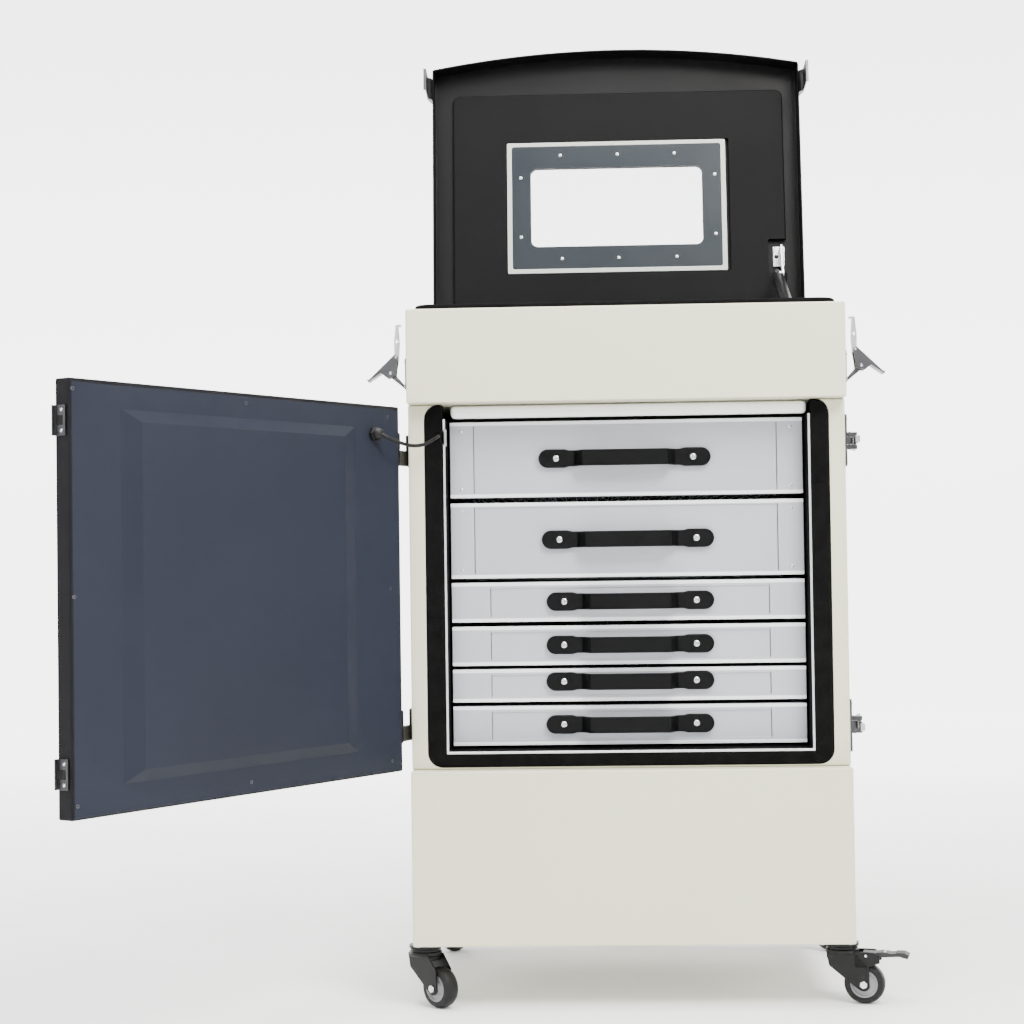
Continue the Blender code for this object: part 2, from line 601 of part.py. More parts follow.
def hinge_blocks(root):
    """The fixed halves of the door's hinges, on the cabinet's side."""
    px, py = DOOR_PIVOT
    for name, height in zip(("upper", "lower"), HINGE_HEIGHTS):
        low, high = height - HINGE_HALF, height - 0.0004
        leaf = block((-HALF_WIDTH - 0.0035, 0.026, low), (-HALF_WIDTH - GAP, 0.064, height + HINGE_HALF))
        barrel = cylinder((px, py, (low + high) / 2), Z_AXIS, HINGE_RADIUS, high - low, 20)
        arm = slab([(px - 0.0035, py + 0.001), (px + 0.0035, py - 0.001), (-HALF_WIDTH - 0.0015, 0.0262),
                    (-HALF_WIDTH - 0.0015, 0.034), (-HALF_WIDTH - 0.0055, 0.034)], 2, low + 0.0002, high)
        solid(f"hinge_block_{name}", black_steel(), root, [leaf, arm, barrel])


def door_lead(root):
    """The short lead from the gland on the door to the hole in the seal, hanging in a shallow curve."""
    px, py = DOOR_PIVOT
    inner_y = -py + DOOR_THICK + GAP + 0.0002
    turn = Matrix.Rotation(-DOOR_OPEN, 3, "Z")
    start = Vector((px, py, GLAND_Z)) + turn @ Vector((DOOR_EDGE + GLAND_U, inner_y, 0))
    leave = turn @ Y_AXIS
    end = Vector((-0.2330, RECESS - 0.0007, 0.7070))
    knots = [start, start + 0.010 * leave, Vector((-0.2815, -0.0640, 0.6985)), Vector((-0.2610, -0.0420, 0.6925)),
             Vector((-0.2460, -0.0160, 0.6955)), end - 0.012 * Y_AXIS - 0.0015 * Z_AXIS, end]
    data = bpy.data.curves.new("door_lead", "CURVE")
    data.dimensions = "3D"
    data.bevel_depth = 0.0022
    data.bevel_resolution = 2
    data.use_fill_caps = True
    points = smooth_route(knots, 4)
    spline = data.splines.new("POLY")
    spline.points.add(len(points) - 1)
    for target, point in zip(spline.points, points):
        target.co = (*point, 1)
    lead = bpy.data.objects.new("door_lead", data)
    lead.parent = root
    data.materials.append(black_plastic())
    bpy.context.scene.collection.objects.link(lead)


def smooth_route(knots, steps):
    """Points on a Catmull-Rom curve through the knots."""
    padded = [2 * knots[0] - knots[1], *knots, 2 * knots[-1] - knots[-2]]
    points = []
    for a, b, c, d in zip(padded, padded[1:], padded[2:], padded[3:]):
        for i in range(steps):
            t = i / steps
            points.append(0.5 * (2 * b + (c - a) * t + (2 * a - 5 * b + 4 * c - d) * t ** 2
                                 + (3 * b - a - 3 * c + d) * t ** 3))
    points.append(knots[-1].copy())
    return points


# ---- latches ----

def header_latch(root, side, name):
    """A draw latch on the header's side, left open: base, lever and claw."""
    wall = side * (HALF_WIDTH + GAP)
    y = HEADER_LATCH_Y
    out = HEADER_PIVOT_OUT
    pivot_z = HEADER_LATCH_Z
    half = LATCH_WIDTH / 2
    plate = block(*ordered(wall, side * 0.0018, y - half - 0.003, y + half + 0.003, pivot_z - 0.021, pivot_z + 0.018))
    arm_line = [(0.001, -0.0205), (0.001, -0.0170), (out - 0.0045, -0.0005), (out + 0.001, -0.0035),
                (out - 0.0005, -0.0055)]
    arm = slab([(wall + side * o, pivot_z + h) for o, h in arm_line], 1, y - 0.0060, y + 0.0060)
    barrel = cylinder((wall + side * out, y, pivot_z), Y_AXIS, 0.0042, 0.0120, 16)
    solid(f"header_latch_base_{name}", bright_steel(), root, [plate, arm, barrel])

    lever_axis = axis_point(f"header_lever_{name}_axis", (wall + side * out, y, pivot_z), root)
    claw_pivot = (-0.0070, 0.0200)
    cheek_line = [(claw_pivot[0] - 0.0025, claw_pivot[1] + 0.0010), (claw_pivot[0] + 0.0015, claw_pivot[1] + 0.0035),
                  (0.0275, -0.0080), (0.0300, -0.0060), (0.0282, -0.0105), (0.0120, 0.0005), (0.0045, -0.0055),
                  (-0.0060, -0.0040), (-0.0070, 0.0060)]
    lever = slab([(side * o, h) for o, h in cheek_line], 1, -half, half)
    slot = slab([(side * o, h) for o, h in ((-0.0200, -0.0120), (-0.0200, 0.0330), (-0.0030, 0.0330),
                                            (-0.0030, 0.0145), (0.0080, 0.0040), (0.0080, -0.0120))],
                1, -0.0064, 0.0064)
    solid(f"header_latch_lever_{name}", black_steel(), lever_axis, [lever], [slot])

    claw_axis = axis_point(f"header_claw_{name}_axis", (side * claw_pivot[0], 0, claw_pivot[1]), lever_axis)
    claw_line = [(-0.0026, -0.0030), (0.0022, -0.0030), (0.0028, 0.0180), (0.0005, 0.0410), (-0.0060, 0.0410),
                 (-0.0060, 0.0385), (-0.0025, 0.0380), (-0.0040, 0.0180)]
    claw = slab([(side * o, h) for o, h in claw_line], 1, -0.0060, 0.0060)
    pin_hole = cylinder((side * -0.0004, 0, 0.0200), Y_AXIS, 0.0020, 0.03, 12)
    solid(f"header_latch_claw_{name}", bright_steel(), claw_axis, [claw], [pin_hole])


def door_latch(root, name, height):
    """A draw latch on the cabinet's right side, folded flat: base, lever and claw."""
    wall = HALF_WIDTH + GAP
    y = DOOR_LATCH_Y
    out = DOOR_PIVOT_OUT
    plate = block((wall, y - 0.0170, height - 0.032), (wall + 0.0020, y + 0.030, height + 0.032))
    post = block((wall + 0.001, y - 0.0040, height - 0.0045), (wall + out, y + 0.0040, height + 0.0045))
    barrel = cylinder((wall + out, y, height), Z_AXIS, 0.0036, 0.0090, 16)
    solid(f"door_latch_base_{name}", black_steel(), root, [plate, post, barrel])

    lever_axis = axis_point(f"door_lever_{name}_axis", (wall + out, y, height), root)
    sheet = slab([(0.0078, -0.0030), (0.0093, -0.0030), (0.0093, 0.0350), (0.0125, 0.0400), (0.0108, 0.0402),
                  (0.0078, 0.0360)], 2, -0.0105, 0.0105)
    cheeks = slab([(-0.0030, -0.0030), (0.0085, -0.0030), (0.0085, 0.0300), (0.0060, 0.0300), (0.0020, 0.0090),
                   (-0.0030, 0.0040)], 2, -0.0105, 0.0105)
    slot = block((-0.0200, -0.0300, -0.0050), (0.0077, 0.0400, 0.0050))
    mouth = block((-0.0200, -0.0300, -0.0050), (0.0200, 0.0080, 0.0050))
    solid(f"door_latch_lever_{name}", black_steel(), lever_axis, [sheet, cheeks], [slot, mouth])

    claw_axis = axis_point(f"door_claw_{name}_axis", (0.0060, -0.0010, 0), lever_axis)
    claw = slab([(-0.0014, 0.0014), (0.0013, 0.0014), (0.0013, -0.0428), (-0.0040, -0.0428), (-0.0040, -0.0412),
                 (-0.0004, -0.0412), (-0.0004, -0.0060), (-0.0014, -0.0030)], 2, -0.0045, 0.0045)
    solid(f"door_latch_claw_{name}", bright_steel(), claw_axis, [claw])


def ordered(x, thick, y0, y1, z0, z1):
    """The corners of a plate against a side wall, lowest first."""
    low_x, high_x = sorted((x, x + thick))
    return (low_x, y0, z0), (high_x, y1, z1)


# ---- castors ----

def castor(root, name, x, y, trail_deg, braked=False):
    """A swivel castor: its fork trails from the swivel, and the wheel turns in the fork."""
    top = BASE_BOTTOM - CASTOR_PLATE - GAP
    swivel = axis_point(f"castor_{name}_swivel", (x, y, 0), root, (0, 0, math.radians(trail_deg)))
    head = cylinder((0, 0, top - 0.0075), Z_AXIS, 0.0205, 0.0150, 28)
    half = WHEEL_WIDTH / 2 + 0.0012
    outer = half + 0.0022
    side_line = [(-0.0185, top - 0.012), (0.0185, top - 0.012), (0.0330, 0.047), (CASTOR_TRAIL + 0.0075, 0.0200),
                 (CASTOR_TRAIL, 0.0165), (CASTOR_TRAIL - 0.0085, 0.0200), (-0.0150, 0.047)]
    cheeks = slab(side_line, 1, -outer, outer)
    between = block((-0.0400, -half, -0.01), (0.0600, half, 0.0540))
    axle = cylinder((CASTOR_TRAIL, 0, WHEEL_RADIUS), Y_AXIS, 0.0030, 2 * outer + 0.006, 16)
    wheel_room = cylinder((CASTOR_TRAIL, 0, WHEEL_RADIUS), Y_AXIS, WHEEL_RADIUS + 0.003, 2 * half, 32)
    shapes, cuts, pins = [cheeks, head], [between, wheel_room], [axle]
    if braked:
        reach, pin_z = PEDAL_PIVOT
        shapes.append(slab([(0.0160, 0.0650), (reach + 0.010, 0.0650), (reach + 0.017, 0.0590),
                            (reach + 0.017, 0.0500), (reach, 0.0450), (0.0160, 0.0450)], 1, -outer, outer))
        cuts.append(block((0.0225, -half, -0.01), (0.0600, half, 0.0700)))
        pins.append(cylinder((reach, 0, pin_z), Y_AXIS, 0.0018, 2 * outer + 0.002, 12))
    body = solid(f"castor_fork_{name}", black_steel(), swivel, shapes, cuts)
    for number, pin in enumerate(pins):
        add_shape(body, f"pin_{number}", pin, swivel, "UNION")

    spin = axis_point(f"castor_{name}_spin", (CASTOR_TRAIL, 0, WHEEL_RADIUS), swivel)
    r, w = WHEEL_RADIUS, WHEEL_WIDTH / 2
    profile = [(0.0033, -w + 0.001), (0.0033, w - 0.001), (0.0080, w - 0.001), (0.0080, w - 0.003),
               (0.0150, w - 0.003), (0.0165, w), (0.0215, w), (r - 0.0008, w - 0.004), (r, 0.0),
               (r - 0.0008, -w + 0.004), (0.0215, -w), (0.0165, -w), (0.0150, -w + 0.003),
               (0.0080, -w + 0.003), (0.0080, -w + 0.001)]
    solid(f"castor_wheel_{name}", finish("black_rubber", (0.02, 0.02, 0.02), 0.6), spin,
          [turned(profile, 32, Y_AXIS)], smooth=True)
    return swivel


def brake_pedal(swivel):
    """The foot lever over one front castor, hinged at the back of the fork's crown."""
    reach, pin_z = PEDAL_PIVOT
    pivot = axis_point("brake_pedal_axis", (reach, 0, pin_z), swivel)
    line = [(-0.0045, 0.0035), (0.0120, 0.0035), (0.0200, 0.0045), (0.0300, 0.0030), (0.0400, 0.0045),
            (0.0520, 0.0020), (0.0500, -0.0030), (0.0400, -0.0005), (0.0120, -0.0025), (0.0060, -0.0050),
            (-0.0045, -0.0035)]
    shape = slab(line, 1, -0.0100, 0.0100)
    pin_hole = cylinder((0, 0, 0), Y_AXIS, 0.0022, 0.03, 12)
    return solid("castor_brake_pedal", finish("grey_plastic", (0.3, 0.3, 0.31), 0.5), pivot, [shape], [pin_hole])


# ---- the whole cabinet ----

def centre_footprint(root):
    """Moves the assembly so that the middle of its footprint is over the origin."""
    bpy.context.view_layer.update()
    graph = bpy.context.evaluated_depsgraph_get()
    corners = []
    for item in bpy.context.scene.objects:
        if item.type in ("MESH", "CURVE") and not item.hide_render:
            shown = item.evaluated_get(graph)
            corners += [shown.matrix_world @ v.co for v in shown.to_mesh().vertices]
            shown.to_mesh_clear()
    for axis in (0, 1):
        places = [corner[axis] for corner in corners]
        root.location[axis] = -(min(places) + max(places)) / 2


def main():
    clear_scene()
    root = axis_point("assembly", (0, 0, 0), None)
    base_box(root)
    cabinet_body(root)
    header_box(root)
    front_seal(root)
    filter_housing(root)
    clamp_bar(root)
    lid_seal(root)
    blower(root)
    power_switch(root)
    rear_fittings(root)
    filters(root)
    strut(lid(root))
    door(root)
    hinge_blocks(root)
    door_lead(root)
    for side, name in ((-1, "left"), (1, "right")):
        header_latch(root, side, name)
    for name, height in zip(("upper", "lower"), DOOR_LATCH_HEIGHTS):
        door_latch(root, name, height)
    for name, x, y, trail_deg in castor_places():
        braked = name == "front_right"
        swivel = castor(root, name, x, y, trail_deg, braked)
        if braked:
            brake_pedal(swivel)
    centre_footprint(root)


main()
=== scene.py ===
# %% [markdown]
# # A mobile fume-filter cabinet
# The real object is a powder-coated steel cabinet on four castors. Six filter cassettes stand in a stack
# behind a side-hung door, and a lid with a window covers the blower bay on top. The engineering model
# already fixes every size and every joint, so this lesson only dresses it: each piece below is a finer
# mesh or a finer surface for a part that is already in its place.

# %% Load the frame
import json
import math

import bmesh
import bpy
from mathutils import Matrix, Vector


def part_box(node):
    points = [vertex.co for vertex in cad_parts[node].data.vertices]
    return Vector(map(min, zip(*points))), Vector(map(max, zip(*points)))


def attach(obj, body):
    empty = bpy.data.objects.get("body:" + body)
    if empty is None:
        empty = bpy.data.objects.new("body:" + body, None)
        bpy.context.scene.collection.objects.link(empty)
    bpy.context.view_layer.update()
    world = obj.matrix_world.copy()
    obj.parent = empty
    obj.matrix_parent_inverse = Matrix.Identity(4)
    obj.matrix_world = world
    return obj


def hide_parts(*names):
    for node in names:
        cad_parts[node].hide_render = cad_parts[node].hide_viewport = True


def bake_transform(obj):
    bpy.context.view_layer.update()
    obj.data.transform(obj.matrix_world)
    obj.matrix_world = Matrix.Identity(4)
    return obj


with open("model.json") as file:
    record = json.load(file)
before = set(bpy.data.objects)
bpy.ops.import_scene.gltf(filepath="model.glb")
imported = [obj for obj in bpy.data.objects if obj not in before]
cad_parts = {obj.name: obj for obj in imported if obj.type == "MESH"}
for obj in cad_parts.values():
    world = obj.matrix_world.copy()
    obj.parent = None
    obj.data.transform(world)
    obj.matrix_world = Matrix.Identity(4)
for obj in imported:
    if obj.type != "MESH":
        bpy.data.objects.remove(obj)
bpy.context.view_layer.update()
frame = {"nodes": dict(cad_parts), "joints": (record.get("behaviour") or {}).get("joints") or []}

# %% [markdown]
# ## Where things are
# Working in the cabinet's own coordinates keeps the numbers readable: x from its middle, y from its front
# face, z from the floor. The lid, the door, the strut and the castors are easier still in their closed or
# straight position, so each gets a matrix that carries it to where it stands now. The matrices come from
# the joints, so nothing is placed by eye.

# %% Places
base_low, base_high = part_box("base_box")
MIDDLE_X, FRONT_Y = (base_low.x + base_high.x) / 2, base_low.y
CABINET = Matrix.Translation((MIDDLE_X, FRONT_Y, 0))
JOINTS = {joint["name"]: joint for joint in frame["joints"]}
X_AXIS, Y_AXIS, Z_AXIS = Vector((1, 0, 0)), Vector((0, 1, 0)), Vector((0, 0, 1))


def local_box(node):
    """A part's lowest and highest corners in the cabinet's coordinates."""
    low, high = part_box(node)
    back = CABINET.inverted()
    return back @ low, back @ high


def at_joint(name, closed_by=0.0, axis="X", floor=False):
    """The matrix of a joint's own axes: straight, or turned back by its travel to the closed stop."""
    place = Vector(JOINTS[name]["pos_m"])
    if floor:
        place.z = 0
    return Matrix.Translation(place) @ Matrix.Rotation(math.radians(closed_by), 4, axis)


LID = at_joint("lid_hinge", JOINTS["lid_hinge"]["range_deg"][0], "X")
DOOR = at_joint("door_hinge", JOINTS["door_hinge"]["range_deg"][0], "Z", floor=True)
print("cabinet middle", round(MIDDLE_X, 4), "front", round(FRONT_Y, 4))

# %% [markdown]
# ## Tools for shapes
# Sheet metal, moulded plastic and turned steel need four ways of making a mesh: a box with soft edges,
# an outline pushed along an axis, a profile turned about an axis, and a section swept along a path.
# Real edges are never perfectly sharp, and the small bevel is what catches the light. Each tool returns a
# bmesh, so shapes can be cut or joined before they become an object.


# %% Shape tools
def box_shape(low, high, radius=0.0, segments=3):
    shape = bmesh.new()
    size = [b - a for a, b in zip(low, high)]
    middle = [(a + b) / 2 for a, b in zip(low, high)]
    bmesh.ops.create_cube(shape, size=1.0, matrix=Matrix.Translation(middle) @ Matrix.Diagonal((*size, 1)))
    if radius:
        bmesh.ops.bevel(shape, geom=shape.edges[:], offset=radius, segments=segments,
                        affect="EDGES", profile=0.5)
    return shape


def outline_shape(outline, axis, start, stop, radius=0.0, segments=2):
    """Pushes a flat outline along axis 0, 1 or 2 and softens the two rims."""
    shape = bmesh.new()
    corners = []
    for pair in outline:
        point = list(pair)
        point.insert(axis, start)
        corners.append(shape.verts.new(point))
    face = shape.faces.new(corners)
    pushed = bmesh.ops.extrude_face_region(shape, geom=[face])
    shift = [0.0, 0.0, 0.0]
    shift[axis] = stop - start
    top = [v for v in pushed["geom"] if isinstance(v, bmesh.types.BMVert)]
    bmesh.ops.translate(shape, verts=top, vec=shift)
    bmesh.ops.recalc_face_normals(shape, faces=shape.faces[:])
    if radius:
        rims = [e for e in shape.edges if abs(e.verts[0].co[axis] - e.verts[1].co[axis]) < 1e-6]
        bmesh.ops.bevel(shape, geom=rims, offset=radius, segments=segments, affect="EDGES", profile=0.5)
    return shape


def arc(centre, radius, start_deg, stop_deg, steps):
    angles = [math.radians(start_deg + (stop_deg - start_deg) * i / steps) for i in range(steps + 1)]
    return [(centre[0] + radius * math.cos(a), centre[1] + radius * math.sin(a)) for a in angles]


def rounded_rectangle(low, high, radius, steps=6):
    (x0, y0), (x1, y1) = low, high
    return (arc((x1 - radius, y1 - radius), radius, 0, 90, steps)
            + arc((x0 + radius, y1 - radius), radius, 90, 180, steps)
            + arc((x0 + radius, y0 + radius), radius, 180, 270, steps)
            + arc((x1 - radius, y0 + radius), radius, 270, 360, steps))


def turned(profile, sides=48, axis=Z_AXIS, place=(0, 0, 0)):
    """Turns (radius, height) points about an axis. A point of radius 0 closes the end."""
    shape = bmesh.new()
    rings = []
    for radius, height in profile:
        if radius == 0:
            rings.append([shape.verts.new((0, 0, height))])
            continue
        rings.append([shape.verts.new((radius * math.cos(2 * math.pi * i / sides),
                                       radius * math.sin(2 * math.pi * i / sides), height))
                      for i in range(sides)])
    closed = profile[0][0] != 0
    pairs = list(zip(rings, rings[1:])) + ([(rings[-1], rings[0])] if closed else [])
    for here, there in pairs:
        if len(here) == len(there) == 1:
            continue
        for i in range(sides):
            k = (i + 1) % sides
            corners = ([here[0]] if len(here) == 1 else [here[i], here[k]])
            corners += ([there[0]] if len(there) == 1 else [there[k], there[i]])
            shape.faces.new(corners)
    bmesh.ops.recalc_face_normals(shape, faces=shape.faces[:])
    turn = Z_AXIS.rotation_difference(Vector(axis)).to_matrix().to_4x4()
    bmesh.ops.transform(shape, verts=shape.verts[:], matrix=Matrix.Translation(place) @ turn)
    return shape


def rod(middle, along, radius, length, sides=24, rim=0.0):
    """A round bar with softened ends, about its middle."""
    half = length / 2
    profile = [(0, half), (radius - rim, half), (radius, half - rim), (radius, -half + rim),
               (radius - rim, -half), (0, -half)]
    if not rim:
        profile = [(0, half), (radius, half), (radius, -half), (0, -half)]
    return turned(profile, sides, along, middle)


def swept(path, section, side_hint, closed=False):
    """Carries a flat section along a path. side_hint is the section's first direction."""
    shape = bmesh.new()
    path = [Vector(p) for p in path]
    side = Vector(side_hint).normalized()
    count = len(path)
    rings = []
    for i, point in enumerate(path):
        before = path[(i - 1) % count] if closed or i else point
        after = path[(i + 1) % count] if closed or i < count - 1 else point
        along = (after - before).normalized()
        first = (side - along * side.dot(along)).normalized()
        second = along.cross(first)
        side = side if closed else first
        rings.append([shape.verts.new(point + first * a + second * b) for a, b in section])
    size = len(section)
    pairs = list(zip(rings, rings[1:])) + ([(rings[-1], rings[0])] if closed else [])
    for here, there in pairs:
        for i in range(size):
            k = (i + 1) % size
            shape.faces.new((here[i], here[k], there[k], there[i]))
    if not closed:
        shape.faces.new(rings[0][::-1])
        shape.faces.new(rings[-1])
    bmesh.ops.recalc_face_normals(shape, faces=shape.faces[:])
    return shape


def smooth_route(knots, steps):
    """Points on a Catmull-Rom curve through the knots."""
    padded = [2 * knots[0] - knots[1], *knots, 2 * knots[-1] - knots[-2]]
    points = []
    for a, b, c, d in zip(padded, padded[1:], padded[2:], padded[3:]):
        for i in range(steps):
            t = i / steps
            points.append(0.5 * (2 * b + (c - a) * t + (2 * a - 5 * b + 4 * c - d) * t ** 2
                                 + (3 * b - a - 3 * c + d) * t ** 3))
    points.append(knots[-1].copy())
    return points


# %% [markdown]
# Openings are cut with an exact Boolean. The modifier works on objects, so the tool below makes
# throw-away ones, reads the result back, and clears up.


# %% Cutting, and turning shapes into pieces
def as_object(name, shape):
    mesh = bpy.data.meshes.new(name)
    shape.to_mesh(mesh)
    shape.free()
    made = bpy.data.objects.new(name, mesh)
    bpy.context.scene.collection.objects.link(made)
    return made


def cut(shape, cutters, operation="DIFFERENCE"):
    body = as_object("being_cut", shape)
    tools = [as_object("cutter", cutter) for cutter in cutters]
    for tool in tools:
        modifier = body.modifiers.new("cut", "BOOLEAN")
        modifier.operation, modifier.solver, modifier.object = operation, "EXACT", tool
    bpy.context.view_layer.update()
    finished = body.evaluated_get(bpy.context.evaluated_depsgraph_get())
    result = bmesh.new()
    result.from_mesh(finished.to_mesh())
    finished.to_mesh_clear()
    for item in (body, *tools):
        bpy.data.objects.remove(item, do_unlink=True)
    return result


def piece(name, body, material, shapes, place=CABINET, stands_for=(), smooth_deg=42.0):
    """Gathers shapes in one mesh, sets it in place, gives it its finish and lets it ride on a body."""
    whole = bmesh.new()
    for shape in shapes:
        part_mesh = bpy.data.meshes.new("part")
        shape.to_mesh(part_mesh)
        shape.free()
        whole.from_mesh(part_mesh)
        bpy.data.meshes.remove(part_mesh)
    bmesh.ops.transform(whole, matrix=place, verts=whole.verts[:])
    made = as_object(name, whole)
    made.data.materials.append(material)
    made.data.shade_smooth()
    made.data.set_sharp_from_angle(angle=math.radians(smooth_deg))
    even = made.modifiers.new("even_shading", "WEIGHTED_NORMAL")
    even.keep_sharp = True
    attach(made, body)
    if stands_for:
        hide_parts(*stands_for)
    return made


# %% [markdown]
# ## Finishes
# Every finish is a small node tree on one Principled shader. Object coordinates are in metres and stay
# with the piece when it moves, so a grain 1 mm across is a noise of scale 1000. Numbers that are the same
# all over sit on the shader's own sockets, and only what varies is linked.


def finish(name, slot, colour, roughness, metallic=0.0, **sockets):
    material = bpy.data.materials.new(name)
    material.use_nodes = True
    shader = material.node_tree.nodes["Principled BSDF"]
    shader.inputs["Base Color"].default_value = (*colour, 1)
    shader.inputs["Roughness"].default_value = roughness
    shader.inputs["Metallic"].default_value = metallic
    for socket, value in sockets.items():
        shader.inputs[socket.replace("_", " ")].default_value = value
    return material


def noise(material, scale, detail=2.0, stretch=(1, 1, 1), kind="noise"):
    """A pattern fixed to the piece, from 0 to 1."""
    tree = material.node_tree
    where = tree.nodes.new("ShaderNodeTexCoord")
    fit = tree.nodes.new("ShaderNodeMapping")
    fit.inputs["Scale"].default_value = stretch
    tree.links.new(where.outputs["Object"], fit.inputs["Vector"])
    made = tree.nodes.new("ShaderNodeTexNoise" if kind == "noise" else "ShaderNodeTexVoronoi")
    made.inputs["Scale"].default_value = scale
    if kind == "noise":
        made.inputs["Detail"].default_value = detail
    tree.links.new(fit.outputs["Vector"], made.inputs["Vector"])
    return made.outputs["Fac" if kind == "noise" else "Distance"]


def spread(material, value, low, high, start=0.3, stop=0.7):
    """Stretches a pattern's middle range to run from low to high."""
    fit = material.node_tree.nodes.new("ShaderNodeMapRange")
    for socket, number in (("From Min", start), ("From Max", stop), ("To Min", low), ("To Max", high)):
        fit.inputs[socket].default_value = number
    material.node_tree.links.new(value, fit.inputs["Value"])
    return fit.outputs["Result"]


def bumpy(material, height, strength, depth):
    """Adds relief, on top of any relief that the finish has already."""
    tree = material.node_tree
    shader = tree.nodes["Principled BSDF"]
    bump = tree.nodes.new("ShaderNodeBump")
    bump.inputs["Strength"].default_value = strength
    bump.inputs["Distance"].default_value = depth
    tree.links.new(height, bump.inputs["Height"])
    if shader.inputs["Normal"].links:
        tree.links.new(shader.inputs["Normal"].links[0].from_socket, bump.inputs["Normal"])
    tree.links.new(bump.outputs["Normal"], shader.inputs["Normal"])


def tinted(material, value, first, second):
    """Mixes two colours by a pattern into the base colour."""
    tree = material.node_tree
    mix = tree.nodes.new("ShaderNodeMix")
    mix.data_type = "RGBA"
    mix.inputs["A"].default_value = (*first, 1)
    mix.inputs["B"].default_value = (*second, 1)
    tree.links.new(value, mix.inputs["Factor"])
    tree.links.new(mix.outputs["Result"], tree.nodes["Principled BSDF"].inputs["Base Color"])


def varied_gloss(material, value):
    tree = material.node_tree
    tree.links.new(value, tree.nodes["Principled BSDF"].inputs["Roughness"])


def shade(colour, factor):
    return tuple(min(1.0, c * factor) for c in colour)


# %% [markdown]
# Powder coat is plastic dust baked on steel. It melts into a skin with a soft orange peel, about a
# millimetre from crest to crest, and its colour wanders by a percent or two. One function makes the
# cream, slate and charcoal coats, because on the real cabinet they differ only in pigment.


# %% Powder coats
def powder_coat(name, slot, colour, roughness, drift=0.05, peel=0.10, gloss=0.28):
    coat = finish(name, slot, colour, roughness, Specular_IOR_Level=gloss)
    tinted(coat, spread(coat, noise(coat, 3.5, 4.0), 0, 1), shade(colour, 1 - drift), shade(colour, 1 + drift))
    varied_gloss(coat, spread(coat, noise(coat, 11.0, 5.0), roughness - 0.05, roughness + 0.06))
    bumpy(coat, noise(coat, 620.0, 1.0), peel, 0.0004)
    bumpy(coat, noise(coat, 2300.0, 1.0), peel * 0.7, 0.0001)
    return coat


CREAM = powder_coat("cream_coat", "cream_powder_coat", (0.60, 0.59, 0.44), 0.42, 0.02, gloss=0.30)
SLATE = powder_coat("slate_coat", "slate_powder_coat", (0.0125, 0.0148, 0.0235), 0.42, 0.08, gloss=0.10)
# A much darker copy of the slate coat, used on the door pan as painted shade along its edges and rim.
SHADED_SLATE = powder_coat("door_rim_painted_shade", "slate_powder_coat", (0.0022, 0.0022, 0.0034), 0.45, 0.08, gloss=0.15)
STEEL_BLUE = powder_coat("window_frame_coat", "slate_powder_coat", (0.012, 0.0165, 0.021), 0.34, 0.06, gloss=0.22)
CHARCOAL = powder_coat("charcoal_coat", "charcoal_powder_coat", (0.0035, 0.0035, 0.0037), 0.45, 0.08, gloss=0.12)

# %% [markdown]
# The bare metals differ by how they were made. Rolled aluminium has a fine grain along its length, zinc
# plating is bright with faint scratches, and the latches' dull nickel sits between them. Stretching a
# noise ten to thirty times along one axis gives the grain.


# %% Bare metals
def rolled_metal(name, slot, colour, roughness, stretch, grain=0.05, drift=0.06, metallic=1.0, gloss=0.5):
    metal = finish(name, slot, colour, roughness, metallic, Specular_IOR_Level=gloss)
    tinted(metal, spread(metal, noise(metal, 9.0, 5.0), 0, 1), shade(colour, 1 - drift), shade(colour, 1 + drift))
    varied_gloss(metal, spread(metal, noise(metal, 260.0, 3.0, stretch), roughness - 0.06, roughness + 0.08))
    bumpy(metal, noise(metal, 420.0, 3.0, stretch), grain, 0.0002)
    return metal


SILVER = rolled_metal("filter_face_metal", "bare_aluminium", (0.40, 0.41, 0.44), 0.42, (0.05, 1, 1), 0.03, 0.03, 0.25)
# The lip metal is the filter face metal at twice its brightness: a painted highlight where the folded lips catch the
# light.
LIP_HIGHLIGHT_METAL = rolled_metal("lip_metal_painted_highlight", "bare_aluminium", (0.80, 0.81, 0.84), 0.38, (0.05, 1, 1), 0.03, 0.03, 0.2)
ALUMINIUM = rolled_metal("rolled_aluminium", "bare_aluminium", (0.74, 0.75, 0.76), 0.32, (1, 1, 0.05))
ZINC = rolled_metal("bright_zinc", "bright_steel", (0.60, 0.61, 0.63), 0.22, (1, 1, 0.2), 0.04)
NICKEL = rolled_metal("dull_nickel", "bright_steel", (0.085, 0.085, 0.09), 0.34, (1, 1, 0.2), 0.05)
CHROME = rolled_metal("hard_chrome", "bright_steel", (0.80, 0.81, 0.82), 0.10, (1, 1, 0.1), 0.01, 0.02)
BLACK_STEEL = rolled_metal("black_steel_coat", "black_steel", (0.003, 0.003, 0.0032), 0.36, (1, 1, 1), 0.06, 0.1, 0.0, 0.22)

# %% [markdown]
# The rest is moulded: grained black straps, closed-cell foam, rubber, clear acrylic. Foam gets two sizes
# of Voronoi cells, because its skin shows both the bubbles and the texture of the mould. Acrylic is clear
# through its face, but its sawn edge is frosted, so the edge is a finish of its own.

